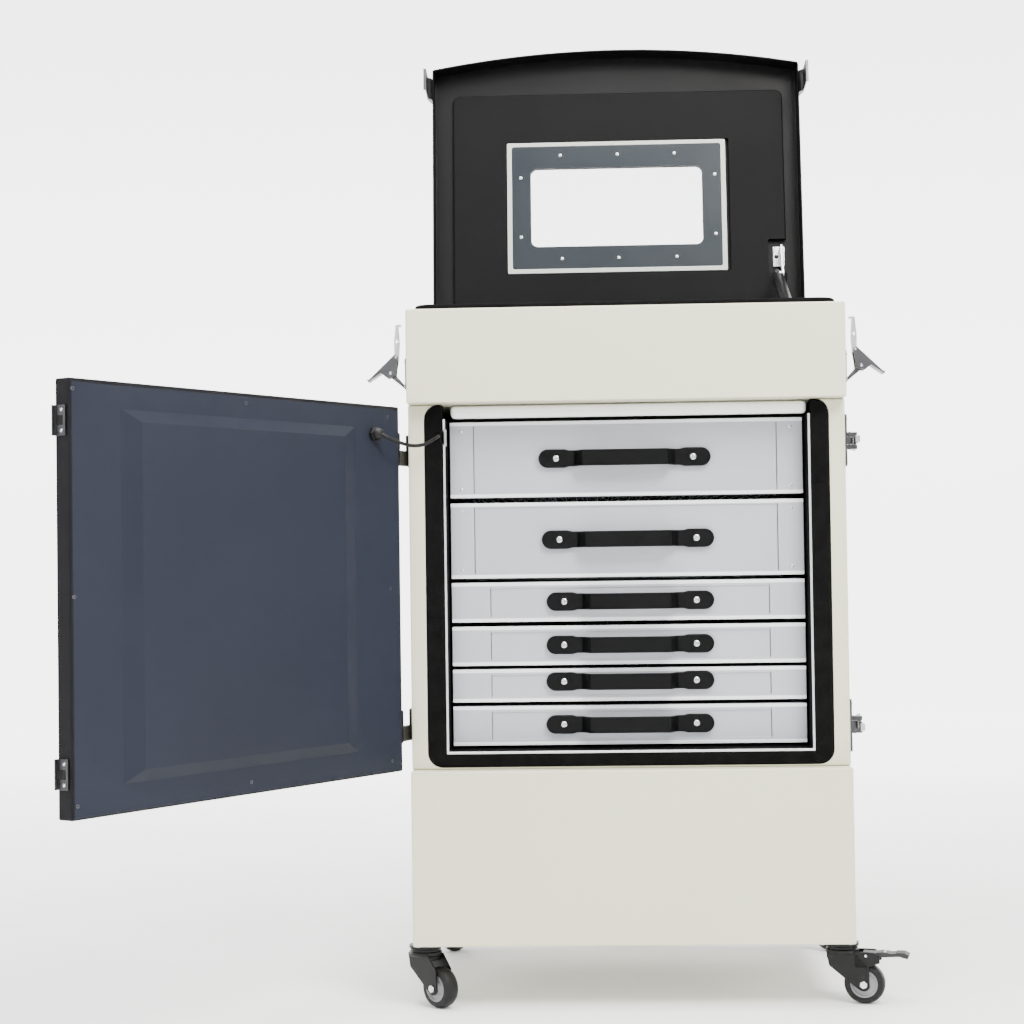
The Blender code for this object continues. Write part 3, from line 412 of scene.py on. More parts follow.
# %% Moulded finishes
STRAP = finish("strap_plastic", "black_plastic", (0.0012, 0.0013, 0.0015), 0.48, Specular_IOR_Level=0.12)
bumpy(STRAP, noise(STRAP, 900.0, kind="cells"), 0.18, 0.0003)
varied_gloss(STRAP, spread(STRAP, noise(STRAP, 60.0, 4.0), 0.36, 0.50))
PLASTIC = finish("moulded_plastic", "black_plastic", (0.0030, 0.0030, 0.0032), 0.46, Specular_IOR_Level=0.25)
bumpy(PLASTIC, noise(PLASTIC, 1500.0, 2.0), 0.12, 0.0002)
varied_gloss(PLASTIC, spread(PLASTIC, noise(PLASTIC, 80.0, 3.0), 0.40, 0.54))
FOAM = finish("seal_foam", "black_foam", (0.0035, 0.0035, 0.0035), 0.88, Specular_IOR_Level=0.05)
bumpy(FOAM, noise(FOAM, 700.0, kind="cells"), 0.5, 0.0005)
bumpy(FOAM, noise(FOAM, 45.0, 4.0), 0.25, 0.002)
tinted(FOAM, spread(FOAM, noise(FOAM, 60.0, 5.0), 0, 1), (0.0024, 0.0024, 0.0024), (0.0046, 0.0046, 0.0045))
LINING = finish("lid_lining", "charcoal_powder_coat", (0.0050, 0.0050, 0.0052), 0.55, Specular_IOR_Level=0.05)
bumpy(LINING, noise(LINING, 1300.0, 2.0), 0.15, 0.0002)
bumpy(LINING, noise(LINING, 9.0, 3.0), 0.10, 0.004)
tinted(LINING, spread(LINING, noise(LINING, 5.0, 4.0), 0, 1), (0.0044, 0.0044, 0.0046), (0.0056, 0.0056, 0.0058))
RUBBER = finish("tyre_rubber", "black_rubber", (0.0045, 0.0045, 0.0048), 0.52, Specular_IOR_Level=0.25)
bumpy(RUBBER, noise(RUBBER, 800.0, 3.0), 0.2, 0.0002)
varied_gloss(RUBBER, spread(RUBBER, noise(RUBBER, 90.0, 4.0), 0.44, 0.64))
LIGHT_GREY = finish("wheel_ring_plastic", "grey_plastic", (0.22, 0.22, 0.225), 0.40, Specular_IOR_Level=0.3)
bumpy(LIGHT_GREY, noise(LIGHT_GREY, 1200.0, 2.0), 0.08, 0.0002)
varied_gloss(LIGHT_GREY, spread(LIGHT_GREY, noise(LIGHT_GREY, 120.0, 3.0), 0.34, 0.48))
PEDAL_GREY = finish("pedal_plastic", "grey_plastic", (0.022, 0.022, 0.023), 0.50, Specular_IOR_Level=0.25)
bumpy(PEDAL_GREY, noise(PEDAL_GREY, 1000.0, 3.0), 0.15, 0.0003)
varied_gloss(PEDAL_GREY, spread(PEDAL_GREY, noise(PEDAL_GREY, 120.0, 4.0), 0.40, 0.60))
WHITE = finish("white_bar_plastic", "white_plastic", (0.96, 0.96, 0.96), 0.28, Coat_Weight=0.3)
bumpy(WHITE, noise(WHITE, 500.0, 2.0, (0.1, 1, 1)), 0.04, 0.0002)
varied_gloss(WHITE, spread(WHITE, noise(WHITE, 40.0, 3.0), 0.22, 0.36))
RED = finish("switch_plastic", "red_plastic", (0.42, 0.012, 0.010), 0.30, Coat_Weight=0.4)
bumpy(RED, noise(RED, 1500.0, 2.0), 0.05, 0.0002)
ACRYLIC = finish("clear_acrylic", "clear_window", (0.97, 0.98, 0.98), 0.02, Transmission_Weight=1.0, IOR=1.49)
bumpy(ACRYLIC, noise(ACRYLIC, 7.0, 2.0), 0.02, 0.0005)
FROSTED = finish("sawn_acrylic", "clear_window", (0.40, 0.42, 0.39), 0.34, Specular_IOR_Level=0.6)
bumpy(FROSTED, noise(FROSTED, 900.0, 3.0), 0.25, 0.0002)
GLASS_BLACK = finish("display_glass", "black_plastic", (0.008, 0.010, 0.012), 0.08, Coat_Weight=0.6)
varied_gloss(GLASS_BLACK, spread(GLASS_BLACK, noise(GLASS_BLACK, 70.0, 3.0), 0.05, 0.14))
PAPER = finish("pleated_paper", "bare_aluminium", (0.70, 0.69, 0.64), 0.88)
bumpy(PAPER, noise(PAPER, 1400.0, 4.0), 0.5, 0.0003)
tinted(PAPER, spread(PAPER, noise(PAPER, 30.0, 4.0), 0, 1), (0.62, 0.61, 0.56), (0.74, 0.73, 0.68))
CARBON = finish("carbon_granules", "black_plastic", (0.014, 0.014, 0.014), 0.62)
bumpy(CARBON, noise(CARBON, 330.0, kind="cells"), 1.0, 0.002)

# %% [markdown]
# ## Small tools used all over
# Pressed and cast hardware keeps the engineering model's own shape. The tool below copies such a part,
# merges its flat facets and rounds its edges. Screws and rivets repeat a lot, so one head is modelled
# once, with a real recess, and copied to every place.


# %% Refined copies, screws and rivets
def soften(shape, radius, segments=2, sharp_deg=28.0):
    """Rounds the edges that are sharper than an angle."""
    bmesh.ops.remove_doubles(shape, verts=shape.verts[:], dist=2e-6)
    bmesh.ops.dissolve_limit(shape, angle_limit=math.radians(1.0), verts=shape.verts[:], edges=shape.edges[:])
    edges = [e for e in shape.edges if len(e.link_faces) == 2 and e.calc_face_angle(0) > math.radians(sharp_deg)]
    bmesh.ops.bevel(shape, geom=edges, offset=radius, segments=segments, affect="EDGES",
                    profile=0.5, clamp_overlap=True)
    return shape


def refined(node, radius, segments=2):
    """A part's own mesh with rounded edges, in the frame's coordinates."""
    shape = bmesh.new()
    shape.from_mesh(frame["nodes"][node].data)
    bmesh.ops.remove_doubles(shape, verts=shape.verts[:], dist=2e-6)
    return soften(shape, radius, segments)


def copies(shape, places):
    """One shape, repeated at each matrix."""
    model = bpy.data.meshes.new("model")
    shape.to_mesh(model)
    shape.free()
    whole = bmesh.new()
    for place in places:
        one = model.copy()
        one.transform(place)
        whole.from_mesh(one)
        bpy.data.meshes.remove(one)
    bpy.data.meshes.remove(model)
    return whole


def toward(place, along, turn_deg=0.0):
    """Carries a shape that stands on the origin along +Z to a place and a direction."""
    return (Matrix.Translation(place) @ Z_AXIS.rotation_difference(Vector(along)).to_matrix().to_4x4()
            @ Matrix.Rotation(math.radians(turn_deg), 4, "Z"))


def screw_head(radius, height, drive="cross"):
    head = turned([(0, height), (radius * 0.5, height * 0.95), (radius * 0.8, height * 0.72),
                   (radius * 0.96, height * 0.38), (radius, 0.0), (0, -0.0002)], 32)
    if drive == "cross":
        arm, width, floor = radius * 0.62, radius * 0.11, height * 0.35
        recess = [box_shape((-arm, -width, floor), (arm, width, height * 2)),
                  box_shape((-width, -arm, floor), (width, arm, height * 2))]
        return cut(cut(head, recess[:1]), recess[1:])
    if drive == "hex":
        return cut(head, [turned([(0, height * 2), (radius * 0.5, height * 2), (radius * 0.5, height * 0.3),
                                  (0, height * 0.3)], 6)])
    return head


def hex_head(across, height):
    return soften(turned([(0, height), (across / 2, height), (across / 2, 0), (0, 0)], 6), across * 0.04, 1)


def at_places(points, along, turns=(12, 47, 83, 5, 61, 30, 74)):
    """Matrices for screws at several points. Each is turned a little differently, as a hand leaves them."""
    return [toward(p, along, turns[i % len(turns)]) for i, p in enumerate(points)]


# %% [markdown]
# ## The steel cabinet
# The cabinet is folded from 2 mm sheet in three boxes that stack: a base, a body whose front is set back
# to take the door, and a header. Folding leaves an outside radius of about the sheet's thickness, so every
# outer edge gets one. The boxes are hollow, as on the real one, and air passes between them.

# %% Base, body and header
ROUND = 0.0022
base = box_shape((-0.270, 0, 0.080), (0.270, 0.420, 0.2942), ROUND, 3)
base = cut(base, [box_shape((-0.268, 0.002, 0.082), (0.268, 0.418, 0.2922)),
                  box_shape((-0.150, 0.120, 0.28), (0.150, 0.340, 0.31)),
                  rod((0, 0.42, 0.187), Y_AXIS, 0.073, 0.02, 64)])
piece("base_shell", "root", CREAM, [base], stands_for=["base_box"])

body = box_shape((-0.270, 0.0215, 0.2946), (0.270, 0.420, 0.7462), ROUND, 3)
body = cut(body, [box_shape((-0.268, 0.0240, 0.2966), (0.268, 0.418, 0.80)),
                  outline_shape(rounded_rectangle((-0.2503, 0.2966), (0.2503, 0.7468), 0.0186, 8), 1, 0.01, 0.0246),
                  box_shape((-0.150, 0.120, 0.28), (0.150, 0.340, 0.31))])
piece("body_shell", "root", CREAM, [body], stands_for=["cabinet_body"])

header = box_shape((-0.270, 0, 0.7466), (0.270, 0.420, 0.8635), ROUND, 3)
header = cut(header, [box_shape((-0.268, 0.002, 0.7486), (0.268, 0.418, 0.8615)),
                      outline_shape(rounded_rectangle((-0.252, 0.014), (0.252, 0.386), 0.006), 2, 0.84, 0.88),
                      rod((0, 0.258, 0.7466), Z_AXIS, 0.070, 0.02, 64),
                      box_shape((-0.120, 0.41, 0.772), (0.120, 0.43, 0.842)),
                      box_shape((0.186, 0.41, 0.786), (0.224, 0.43, 0.814))])
piece("header_shell", "root", CREAM, [header], stands_for=["header_box"])
print("cabinet in three boxes,", round(0.8635 - 0.080, 4), "m tall")

# %% [markdown]
# The castors bolt through welded plates under the base, with a bolt head at each corner that their
# swivel leaves free. Screws tie the three boxes together from behind, where nobody sees them in use.

# %% Castor plates and back screws
CASTORS = ("front_left", "front_right", "rear_left", "rear_right")


def castor_frame(name):
    """The castor's axes: z up from the floor, x the way the wheel trails."""
    swivel, spin = JOINTS[f"castor_{name}_swivel"], Vector(JOINTS[f"castor_{name}_spin"]["axis"])
    place = Vector(swivel["pos_m"])
    turn = Matrix(((spin.y, spin.x, 0), (-spin.x, spin.y, 0), (0, 0, 1))).to_4x4()
    return Matrix.Translation((place.x, place.y, 0)) @ turn


plates, plate_bolts = [], []
for name in CASTORS:
    swivel = CABINET.inverted() @ castor_frame(name).translation
    x, y = swivel.x - math.copysign(0.010, swivel.x), swivel.y
    plates.append(soften(outline_shape(rounded_rectangle((x - 0.022, y - 0.028), (x + 0.022, y + 0.028), 0.004),
                                       2, 0.077, 0.0805), 0.0004, 1))
    plate_bolts += [(x + a * 0.017, y + b * 0.0235, 0.077) for a in (-1, 1) for b in (-1, 1)]
piece("castor_plates", "root", BLACK_STEEL, plates)
piece("castor_plate_bolts", "root", ZINC, [copies(hex_head(0.0060, 0.0016), at_places(plate_bolts, -Z_AXIS))])
back_screws = [(x, 0.420, z) for z in (0.284, 0.306, 0.735, 0.757) for x in (-0.245, -0.16, 0.16, 0.245)]
piece("back_screws", "root", ZINC, [copies(screw_head(0.0042, 0.0018), at_places(back_screws, Y_AXIS))])
print("plate bolts:", len(plate_bolts), "back screws:", len(back_screws))

# %% [markdown]
# ## Seals
# The door closes on a wide black foam frame glued into the recess. It is cut from strip, and the strips
# meet in fine joints, one on each side. The lid closes on a rounded strip of the same foam that runs
# round the header's rim. A swept section is right for that one, because it is the same all the way round.

# %% Door seal and lid seal


def gland_notch():
    """Room for the door's cable gland when the door is shut."""
    return rod((-0.2193, 0.02, 0.7057), Y_AXIS, 0.0115, 0.050, 40)


half, low, high = 0.2497, 0.2972, 0.7456
seal = outline_shape(rounded_rectangle((-half, low), (half, high), 0.018, 8), 1, 0.0212, 0.0455, 0.0018, 3)
seal = cut(seal, [outline_shape(rounded_rectangle((-0.2276, 0.3124), (0.2276, 0.76), 0.004), 1, 0.0, 0.08),
                  box_shape((-0.26, 0.0, 0.4816), (-0.22, 0.0225, 0.4824)),
                  box_shape((0.22, 0.0, 0.6426), (0.26, 0.0225, 0.6434)),
                  rod((-0.2330, 0.02, 0.7070), Y_AXIS, 0.0040, 0.012, 24), gland_notch()])
piece("door_seal", "root", FOAM, [seal], stands_for=["front_seal"])

route = [Vector((x, y, 0.8639)) for x, y in rounded_rectangle((-0.254, 0.012), (0.254, 0.386), 0.014, 8)]
section = [(-0.006, 0.0), (0.006, 0.0), (0.006, 0.0030), (0.0052, 0.0047), (0.0035, 0.0059), (0.0, 0.0064),
           (-0.0035, 0.0059), (-0.0052, 0.0047), (-0.006, 0.0030)]
ring = bmesh.new()
rows = []
for i, point in enumerate(route):
    along = (route[(i + 1) % len(route)] - route[i - 1]).normalized()
    side = along.cross(Z_AXIS)
    rows.append([ring.verts.new(point + side * a + Z_AXIS * b) for a, b in section])
for here, there in zip(rows, rows[1:] + rows[:1]):
    for i in range(len(section)):
        k = (i + 1) % len(section)
        ring.faces.new((here[i], here[k], there[k], there[i]))
bmesh.ops.recalc_face_normals(ring, faces=ring.faces[:])
piece("lid_seal_strip", "root", FOAM, [ring], stands_for=["lid_seal"])

# %% [markdown]
# ## Filter bay
# A folded aluminium sleeve guides the cassettes, and its raw front edge frames them with a thin bright
# line. A white bar across the top holds the stack down. It is a gloss moulding, so it gets generous
# rounding and a coat.

# %% Sleeve and clamp bar
sleeve = box_shape((-0.2270, 0.0212, 0.3130), (0.2270, 0.4000, 0.7285), 0.0008, 2)
sleeve = cut(sleeve, [box_shape((-0.2240, 0.01, 0.3160), (0.2240, 0.3970, 0.75)),
                      box_shape((-0.150, 0.120, 0.30), (0.150, 0.340, 0.33)), gland_notch()])
piece("filter_sleeve", "root", ALUMINIUM, [soften(sleeve, 0.0004, 1)], stands_for=["filter_housing"])
# Thin black foam strips inside the sleeve's side walls and on its floor are painted shade: they darken the gap between
# the sleeve's bright front edge and the cassettes.
strips = [box_shape((x, 0.0230, 0.3166), (x + 0.0006, 0.3960, 0.7280), 0.0001, 1) for x in (-0.2239, 0.2233)]
strips[0] = cut(strips[0], [gland_notch()])
strips.append(box_shape((-0.2232, 0.0230, 0.3161), (0.2232, 0.1190, 0.3167), 0.0001, 1))
piece("sleeve_painted_shade", "root", FOAM, strips)
bar = box_shape((-0.2175, 0.030, 0.7295), (0.2235, 0.044, 0.7448), 0.0052, 6)
bar = cut(bar, [box_shape((-0.22, 0.0285, 0.7365), (0.23, 0.0304, 0.7372))])
piece("white_clamp_bar", "root", WHITE, [bar], stands_for=["clamp_bar"])

# %% [markdown]
# ## Filter cassettes
# Each cassette is a sheet-metal frame around its filter medium. The two tall ones on top hold carbon
# granules under a wire screen, and the four flat ones hold pleated paper. The front shows how each is
# folded: a lip along the top and the bottom, and either two seams with corner rivets or a shallow
# inset panel between the ends.

# %% Cassettes
FRONT, BACK, HALF = 0.0520, 0.3900, 0.2205
HEIGHTS = ((0.6306, 0.7260), (0.5295, 0.6242), (0.4747, 0.5245),
           (0.4203, 0.4695), (0.3747, 0.4160), (0.3206, 0.3699))


def cassette_frame(low, high, tall):
    shape = box_shape((-HALF, FRONT, low), (HALF, BACK, high), 0.0012, 3)
    rim = 0.014
    (left, right), margin = ((-0.1910, 0.1886), 0.0060) if tall else ((-0.172, 0.177), 0.0075)
    hollow = box_shape((-HALF + rim, FRONT + rim, low - 0.01), (HALF - rim, BACK - rim, high + 0.01))
    panel = box_shape((left, FRONT - 0.01, low + margin), (right, FRONT + 0.0012, high - margin), 0.0006, 2)
    grooves = [box_shape((x, FRONT - 0.01, low + margin), (x + 0.0013, FRONT + 0.0050, high - margin))
               for x in (left, right - 0.0013)]
    return cut(cut(shape, [hollow]), [panel, *grooves])


def front_rails(low, high):
    """The folded lips along the top and the bottom of the front, in a brighter copy of the face metal as a painted
    highlight.
    """
    return [box_shape((-HALF + 0.0004, FRONT - 0.0003, z), (HALF - 0.0004, FRONT + 0.0010, z + 0.0044), 0.0004, 2)
            for z in (low + 0.0003, high - 0.0047)]


def pleats(low, high):
    """Paper folded up and down between the cassette's long walls."""
    shape = bmesh.new()
    count, x0, x1 = 44, -HALF + 0.0142, HALF - 0.0142
    rows = []
    for i in range(2 * count + 1):
        x = x0 + (x1 - x0) * i / (2 * count)
        z = high - 0.0035 if i % 2 else low + 0.0060
        rows.append([shape.verts.new((x, FRONT + 0.0142, z)), shape.verts.new((x, BACK - 0.0142, z))])
    faces = [shape.faces.new((a[0], a[1], b[1], b[0])) for a, b in zip(rows, rows[1:])]
    bmesh.ops.solidify(shape, geom=faces, thickness=0.0006)
    return shape


def wire_screen(height):
    """Crossed wires over the carbon."""
    wires = [rod((x / 1000, (FRONT + BACK) / 2, height), Y_AXIS, 0.0006, BACK - FRONT - 0.027, 6)
             for x in range(-203, 204, 14)]
    wires += [rod((0, y / 1000, height + 0.001), X_AXIS, 0.0006, 2 * HALF - 0.027, 6)
              for y in range(70, 376, 14)]
    return wires


for number, (low, high) in enumerate(HEIGHTS, 1):
    tall = number < 3
    body_name = f"filter_{number}"
    piece(f"cassette_{number}_frame", body_name, SILVER, [cassette_frame(low, high, tall)],
          stands_for=[f"filter_cassette_{number}"])
    piece(f"cassette_{number}_rails", body_name, LIP_HIGHLIGHT_METAL, front_rails(low, high))
    if tall:
        bed = box_shape((-HALF + 0.0142, FRONT + 0.0142, low + 0.004), (HALF - 0.0142, BACK - 0.0142, high - 0.006))
        piece(f"cassette_{number}_carbon", body_name, CARBON, [bed])
        piece(f"cassette_{number}_screens", body_name, ZINC, wire_screen(high - 0.0045) + wire_screen(low + 0.002))
        corners = [(x, FRONT, z) for x in (-0.2060, 0.2050) for z in (low + 0.0105, high - 0.0115)]
        piece(f"cassette_{number}_rivets", body_name, ZINC,
              [copies(screw_head(0.0021, 0.0007, "plain"), at_places(corners, -Y_AXIS))])
    else:
        piece(f"cassette_{number}_paper", body_name, PAPER, [pleats(low, high)], smooth_deg=20)
print("cassettes:", len(HEIGHTS))

# %% [markdown]
# The straps are moulded with wide round feet, and step to a narrower grip that bows out for gloved
# fingers. The tool below walks along the strap's middle line. It works out the width at each step, with a
# circle at the feet, and lays a rounded section across it. A pan-head screw fixes each foot.

# %% Strap handles
HANDLE_Z = (0.6785, 0.5770, 0.4996, 0.4455, 0.4000, 0.3465)
HANDLE_X = (-0.0017, 0.0011, 0.0030, 0.0022, 0.0015, 0.0007)
HANDLE_LENGTH = (0.215, 0.215, 0.209, 0.209, 0.209, 0.209)
THICK, PAD, WAIST, INSET = 0.005, 0.0116, 0.0101, 0.022


def smooth_step(t):
    t = max(0.0, min(1.0, t))
    return t * t * (3 - 2 * t)


def strap(length):
    half = length / 2
    foot, bow = half - 2 * INSET, half - 2.6 * INSET
    back, front = FRONT - 0.0004 - THICK / 2, 0.0295 + THICK / 2
    ends = [PAD * (1 - math.cos(math.radians(a))) for a in (6, 16, 27, 38, 49, 60, 70, 80, 90)]
    inner = [PAD + 0.003 * i for i in range(1, 11)] + [half - foot + (foot - bow) * i / 10 for i in range(0, 11)]
    inner += [half - bow + (bow - 0.004) * i / 6 for i in range(1, 7)]
    distances = sorted(ends + [d for d in inner if d > PAD])
    xs = [-half + d for d in distances] + [half - d for d in reversed(distances)]
    shape = bmesh.new()
    rings = []
    for x in xs:
        d = half - abs(x)
        lift = (foot - abs(x)) / (foot - bow)
        width = PAD + (WAIST - PAD) * smooth_step((half - 0.034 - abs(x)) / 0.003)
        if d < PAD:
            width = math.sqrt(PAD ** 2 - (PAD - d) ** 2)
        slope = 6 * lift * (1 - lift) * (back - front) / (foot - bow) if 0 < lift < 1 else 0
        y = back + (front - back) * smooth_step(lift)
        deep = THICK / 2 * min(math.hypot(1, slope), 1.7)
        corner = min(0.0014, width * 0.8)
        outline = rounded_rectangle((-width, -THICK / 2), (width, THICK / 2), corner, 3)
        rings.append([shape.verts.new((x, y + out * deep / (THICK / 2), across)) for across, out in outline])
    size = len(rings[0])
    for here, there in zip(rings, rings[1:]):
        for i in range(size):
            k = (i + 1) % size
            shape.faces.new((here[i], here[k], there[k], there[i]))
    shape.faces.new(rings[0][::-1])
    shape.faces.new(rings[-1])
    bmesh.ops.recalc_face_normals(shape, faces=shape.faces[:])
    return shape


for number, (z, x, length) in enumerate(zip(HANDLE_Z, HANDLE_X, HANDLE_LENGTH), 1):
    place = CABINET @ Matrix.Translation((x, 0, z))
    piece(f"strap_handle_{number}", f"filter_{number}", STRAP, [strap(length)], place,
          stands_for=[f"filter_handle_{number}"], smooth_deg=50)
    heads = [(side * (length / 2 - INSET), FRONT - 0.0004 - THICK, 0) for side in (-1, 1)]
    piece(f"strap_screws_{number}", f"filter_{number}", ZINC,
          [copies(screw_head(0.0043, 0.0018), at_places(heads, -Y_AXIS))], place)
print("strap handles:", len(HANDLE_Z))

# %% [markdown]
# ## The lid
# The lid is a shallow pressed tray with a bowed front edge, shown standing open. Inside it are a soft
# moulded lining, then a clear acrylic pane, and a painted frame whose ten screws hold the pane. The lid is
# modelled closed, with y as minus the distance from the hinge, and its matrix lifts it.

# %% Lid shell and lining
LID_HALF, LID_REACH, LID_BOW, CEILING = 0.266, 0.402, 0.0246, 0.0336


def lid_outline(inset, steps=40):
    half, reach = LID_HALF - inset, LID_REACH - inset
    radius = (half ** 2 + LID_BOW ** 2) / (2 * LID_BOW)
    swing = math.degrees(math.asin(half / radius))
    front = arc((0, -(reach + LID_BOW) + radius), radius, 270 - swing, 270 + swing, steps)
    return front + [(half, -inset), (-half, -inset)]


shell = soften(outline_shape(lid_outline(0.0), 2, 0.0006, 0.036), 0.0030, 4)
window = rounded_rectangle((-0.1245, -0.2575), (0.1245, -0.1402), 0.010, 8)
shell = cut(shell, [soften(outline_shape(lid_outline(0.002), 2, -0.02, 0.034), 0.0012, 2),
                    outline_shape(window, 2, 0.02, 0.05)])
piece("lid_tray", "lid", CHARCOAL, [shell], LID, stands_for=["lid_shell"])

lining = outline_shape(rounded_rectangle((-0.238, -0.370), (0.2437, -0.006), 0.012), 2, 0.0262, 0.0339, 0.0030, 4)
lining = cut(lining, [outline_shape(rounded_rectangle((-0.1600, -0.2975), (0.1640, -0.0995), 0.003), 2, 0.0, 0.05),
                      outline_shape(rounded_rectangle((0.2175, -0.145), (0.2475, -0.095), 0.003), 2, 0.0, 0.05)])
piece("lid_lining", "lid", LINING, [lining], LID)

# %% [markdown]
# The pane is bedded on a wider sheet of the same acrylic, whose frosted sawn edge shows as a pale line round
# the frame. The frame's screws are not evenly spaced. They are where a fitter drilled them.

# %% Window
frame_plate = outline_shape(rounded_rectangle((-0.1515, -0.290), (0.1515, -0.1075), 0.003), 2, 0.0272, 0.0302)
frame_plate = cut(frame_plate, [outline_shape(window, 2, 0.0, 0.05)])
piece("window_frame", "lid", STEEL_BLUE, [soften(frame_plate, 0.0006, 2)], LID, stands_for=["lid_window_frame"])
pane = box_shape((-0.1365, -0.2695, 0.0306), (0.1365, -0.1282, 0.0336), 0.0003, 1)
piece("window_pane", "lid", ACRYLIC, [pane], LID, stands_for=["lid_window_pane"])
lip = outline_shape(rounded_rectangle((-0.1590, -0.2965), (0.1590, -0.1005), 0.002), 2, 0.0268, 0.0296)
lip = cut(lip, [outline_shape(rounded_rectangle((-0.1519, -0.2904), (0.1519, -0.1071), 0.003), 2, 0.0, 0.05)])
piece("window_sawn_edge", "lid", FROSTED, [soften(lip, 0.0007, 2)], LID)
holes = [(x, -0.2765, 0.0272) for x in (-0.081, 0.002, 0.085)] + [(x, -0.1215, 0.0272) for x in (-0.080, 0.002, 0.086)]
holes += [(x, y, 0.0272) for x in (-0.139, 0.143) for y in (-0.2435, -0.1545)]
piece("window_screws", "lid", ZINC, [copies(screw_head(0.0028, 0.0012), at_places(holes, -Z_AXIS))], LID)
print("window screws:", len(holes))

# %% [markdown]
# ## The strut
# A gas strut holds the lid. The black cylinder hangs from a bright bracket by a ball end, and the
# chromed rod runs down to a ball stud on the header's wall. Everything here is turned work, so each piece
# is one profile or a few. The strut's own matrix has z along it, from the header end to the lid end.

# %% Strut
swing, slide = JOINTS["strut_swing"], JOINTS["strut_slide"]
up = -Vector(slide["axis"]).normalized()
strut_turn = Matrix((X_AXIS, up.cross(X_AXIS), up)).transposed().to_4x4()
STRUT = Matrix.Translation(Vector(swing["pos_m"])) @ strut_turn
foot_z = 0.815
REACH = (Vector(swing["pos_m"]) - CABINET @ Vector((0.2275, 0.100, foot_z))).length

cylinder = turned([(0.0041, -0.1862), (0.0070, -0.1862), (0.0082, -0.1850), (0.0085, -0.1835), (0.0085, -0.0245),
                   (0.0081, -0.0225), (0.0068, -0.0212), (0, -0.0212), (0, -0.0410), (0.0041, -0.0410)], 48)
crimp = turned([(0.0078, -0.1760), (0.00865, -0.1752), (0.00865, -0.1738), (0.0078, -0.1730)], 48)
piece("strut_tube", "strut_cylinder", BLACK_STEEL, [cylinder, crimp], STRUT, stands_for=["strut_cylinder"])
neck = turned([(0, -0.0030), (0.0024, -0.0040), (0.0024, -0.0140), (0.0042, -0.0150), (0.0045, -0.0160),
               (0.0045, -0.0212), (0, -0.0212)], 32)
eye = turned([(0.0028, -0.0028), (0.0055, -0.0028), (0.0060, -0.0022), (0.0060, 0.0022), (0.0055, 0.0028),
              (0.0028, 0.0028)], 40, X_AXIS)
piece("strut_upper_eye", "strut_cylinder", PLASTIC, [neck, eye], STRUT)

shaft = turned([(0, 0.0140), (0.0030, 0.0140), (0.0038, 0.0150), (0.0038, 0.1712), (0.0032, 0.1720), (0, 0.1720)], 32)
ROD = STRUT @ Matrix.Translation((0, 0, -REACH))
piece("strut_shaft", "strut_rod", CHROME, [shaft], ROD, stands_for=["strut_rod"])
lower_eye = turned([(0.0028, -0.0028), (0.0055, -0.0028), (0.0060, -0.0022), (0.0060, 0.0022), (0.0055, 0.0028),
                    (0.0028, 0.0028)], 40, X_AXIS)
lower_neck = turned([(0, 0.0045), (0.0024, 0.0050), (0.0024, 0.0100), (0.0036, 0.0110), (0.0036, 0.0150),
                     (0, 0.0155)], 32)
piece("strut_lower_eye", "strut_rod", PLASTIC, [lower_eye, lower_neck], ROD)

x_out = 0.2307
ear = outline_shape([(-0.134, 0.0326), (-0.105, 0.0326), (-0.083, 0.016), (-0.0850, 0.0085), (-0.0880, 0.0060),
                     (-0.0950, 0.0060), (-0.134, 0.0180)], 0, x_out + 0.0037, x_out + 0.0067)
foot = box_shape((0.2245, -0.1340, 0.0306), (x_out + 0.0105, -0.1050, 0.0336), 0.0006, 2)
ball = rod((x_out + 0.0018, -0.090, 0.012), X_AXIS, 0.0038, 0.004, 24, 0.0006)
piece("lid_bracket", "lid", ZINC, [soften(ear, 0.0006, 2), foot, ball], LID, stands_for=["strut_bracket"])
rivet_at = [(0.2292, -0.1195, 0.0306)]
pin_at = [(x_out + 0.0067, -0.090, 0.012)]
piece("bracket_rivets", "lid", BLACK_STEEL,
      [copies(screw_head(0.0030, 0.0012, "plain"), at_places(rivet_at, -Z_AXIS) + at_places(pin_at, X_AXIS))], LID)
stud = turned([(0.0042, 0.0), (0.0042, 0.006), (0.0032, 0.008), (0.0032, 0.026), (0.0040, 0.028), (0.0040, 0.0368),
               (0, 0.0368), (0, 0.0)], 32, -X_AXIS, (0.2682, 0.100, 0.815))
piece("header_stud", "root", ZINC, [stud])
print("strut reaches", round(REACH, 4), "m between its eyes")

# %% [markdown]
# ## The door
# The door is a folded steel pan, drawn nearly black: a much darker copy of the slate coat, as painted shade on its
# edges and rim.
# A slate cover closes its inner side. A raised panel is pressed into the cover, and its slopes catch the light. Eight
# pan-head screws hold the cover.
# Two knuckles carry the door on the cabinet's hinge blocks, and a gland lets the short lead out.

# %% Door and hinges
LEFT, RIGHT, OUTER, INNER = 0.0147, 0.5547, -0.0023, 0.0182
pan = box_shape((LEFT, OUTER, 0.2975), (RIGHT, INNER - 0.0002, 0.7410), 0.0020, 3)
cover = box_shape((LEFT + 0.0030, INNER - 0.0015, 0.2998), (RIGHT - 0.0030, INNER + 0.0002, 0.7370), 0.0004, 2)
panel = bmesh.new()
lower = [panel.verts.new(p) for p in ((0.0957, 0.0170, 0.325), (0.4897, 0.0170, 0.325),
                                      (0.4897, 0.0170, 0.716), (0.0957, 0.0170, 0.716))]
upper = [panel.verts.new(p) for p in ((0.1267, 0.0242, 0.341), (0.4587, 0.0242, 0.341),
                                      (0.4587, 0.0242, 0.700), (0.1267, 0.0242, 0.700))]
panel.faces.new(lower)
panel.faces.new(upper)
for i in range(4):
    k = (i + 1) % 4
    panel.faces.new((lower[i], lower[k], upper[k], upper[i]))
bmesh.ops.recalc_face_normals(panel, faces=panel.faces[:])
cover = cut(cut(cover, [soften(panel, 0.0007, 3, 8)], "UNION"),
            [rod((LEFT + 0.0507, INNER, 0.7057), Y_AXIS, 0.0035, 0.02, 32)])
wings = []
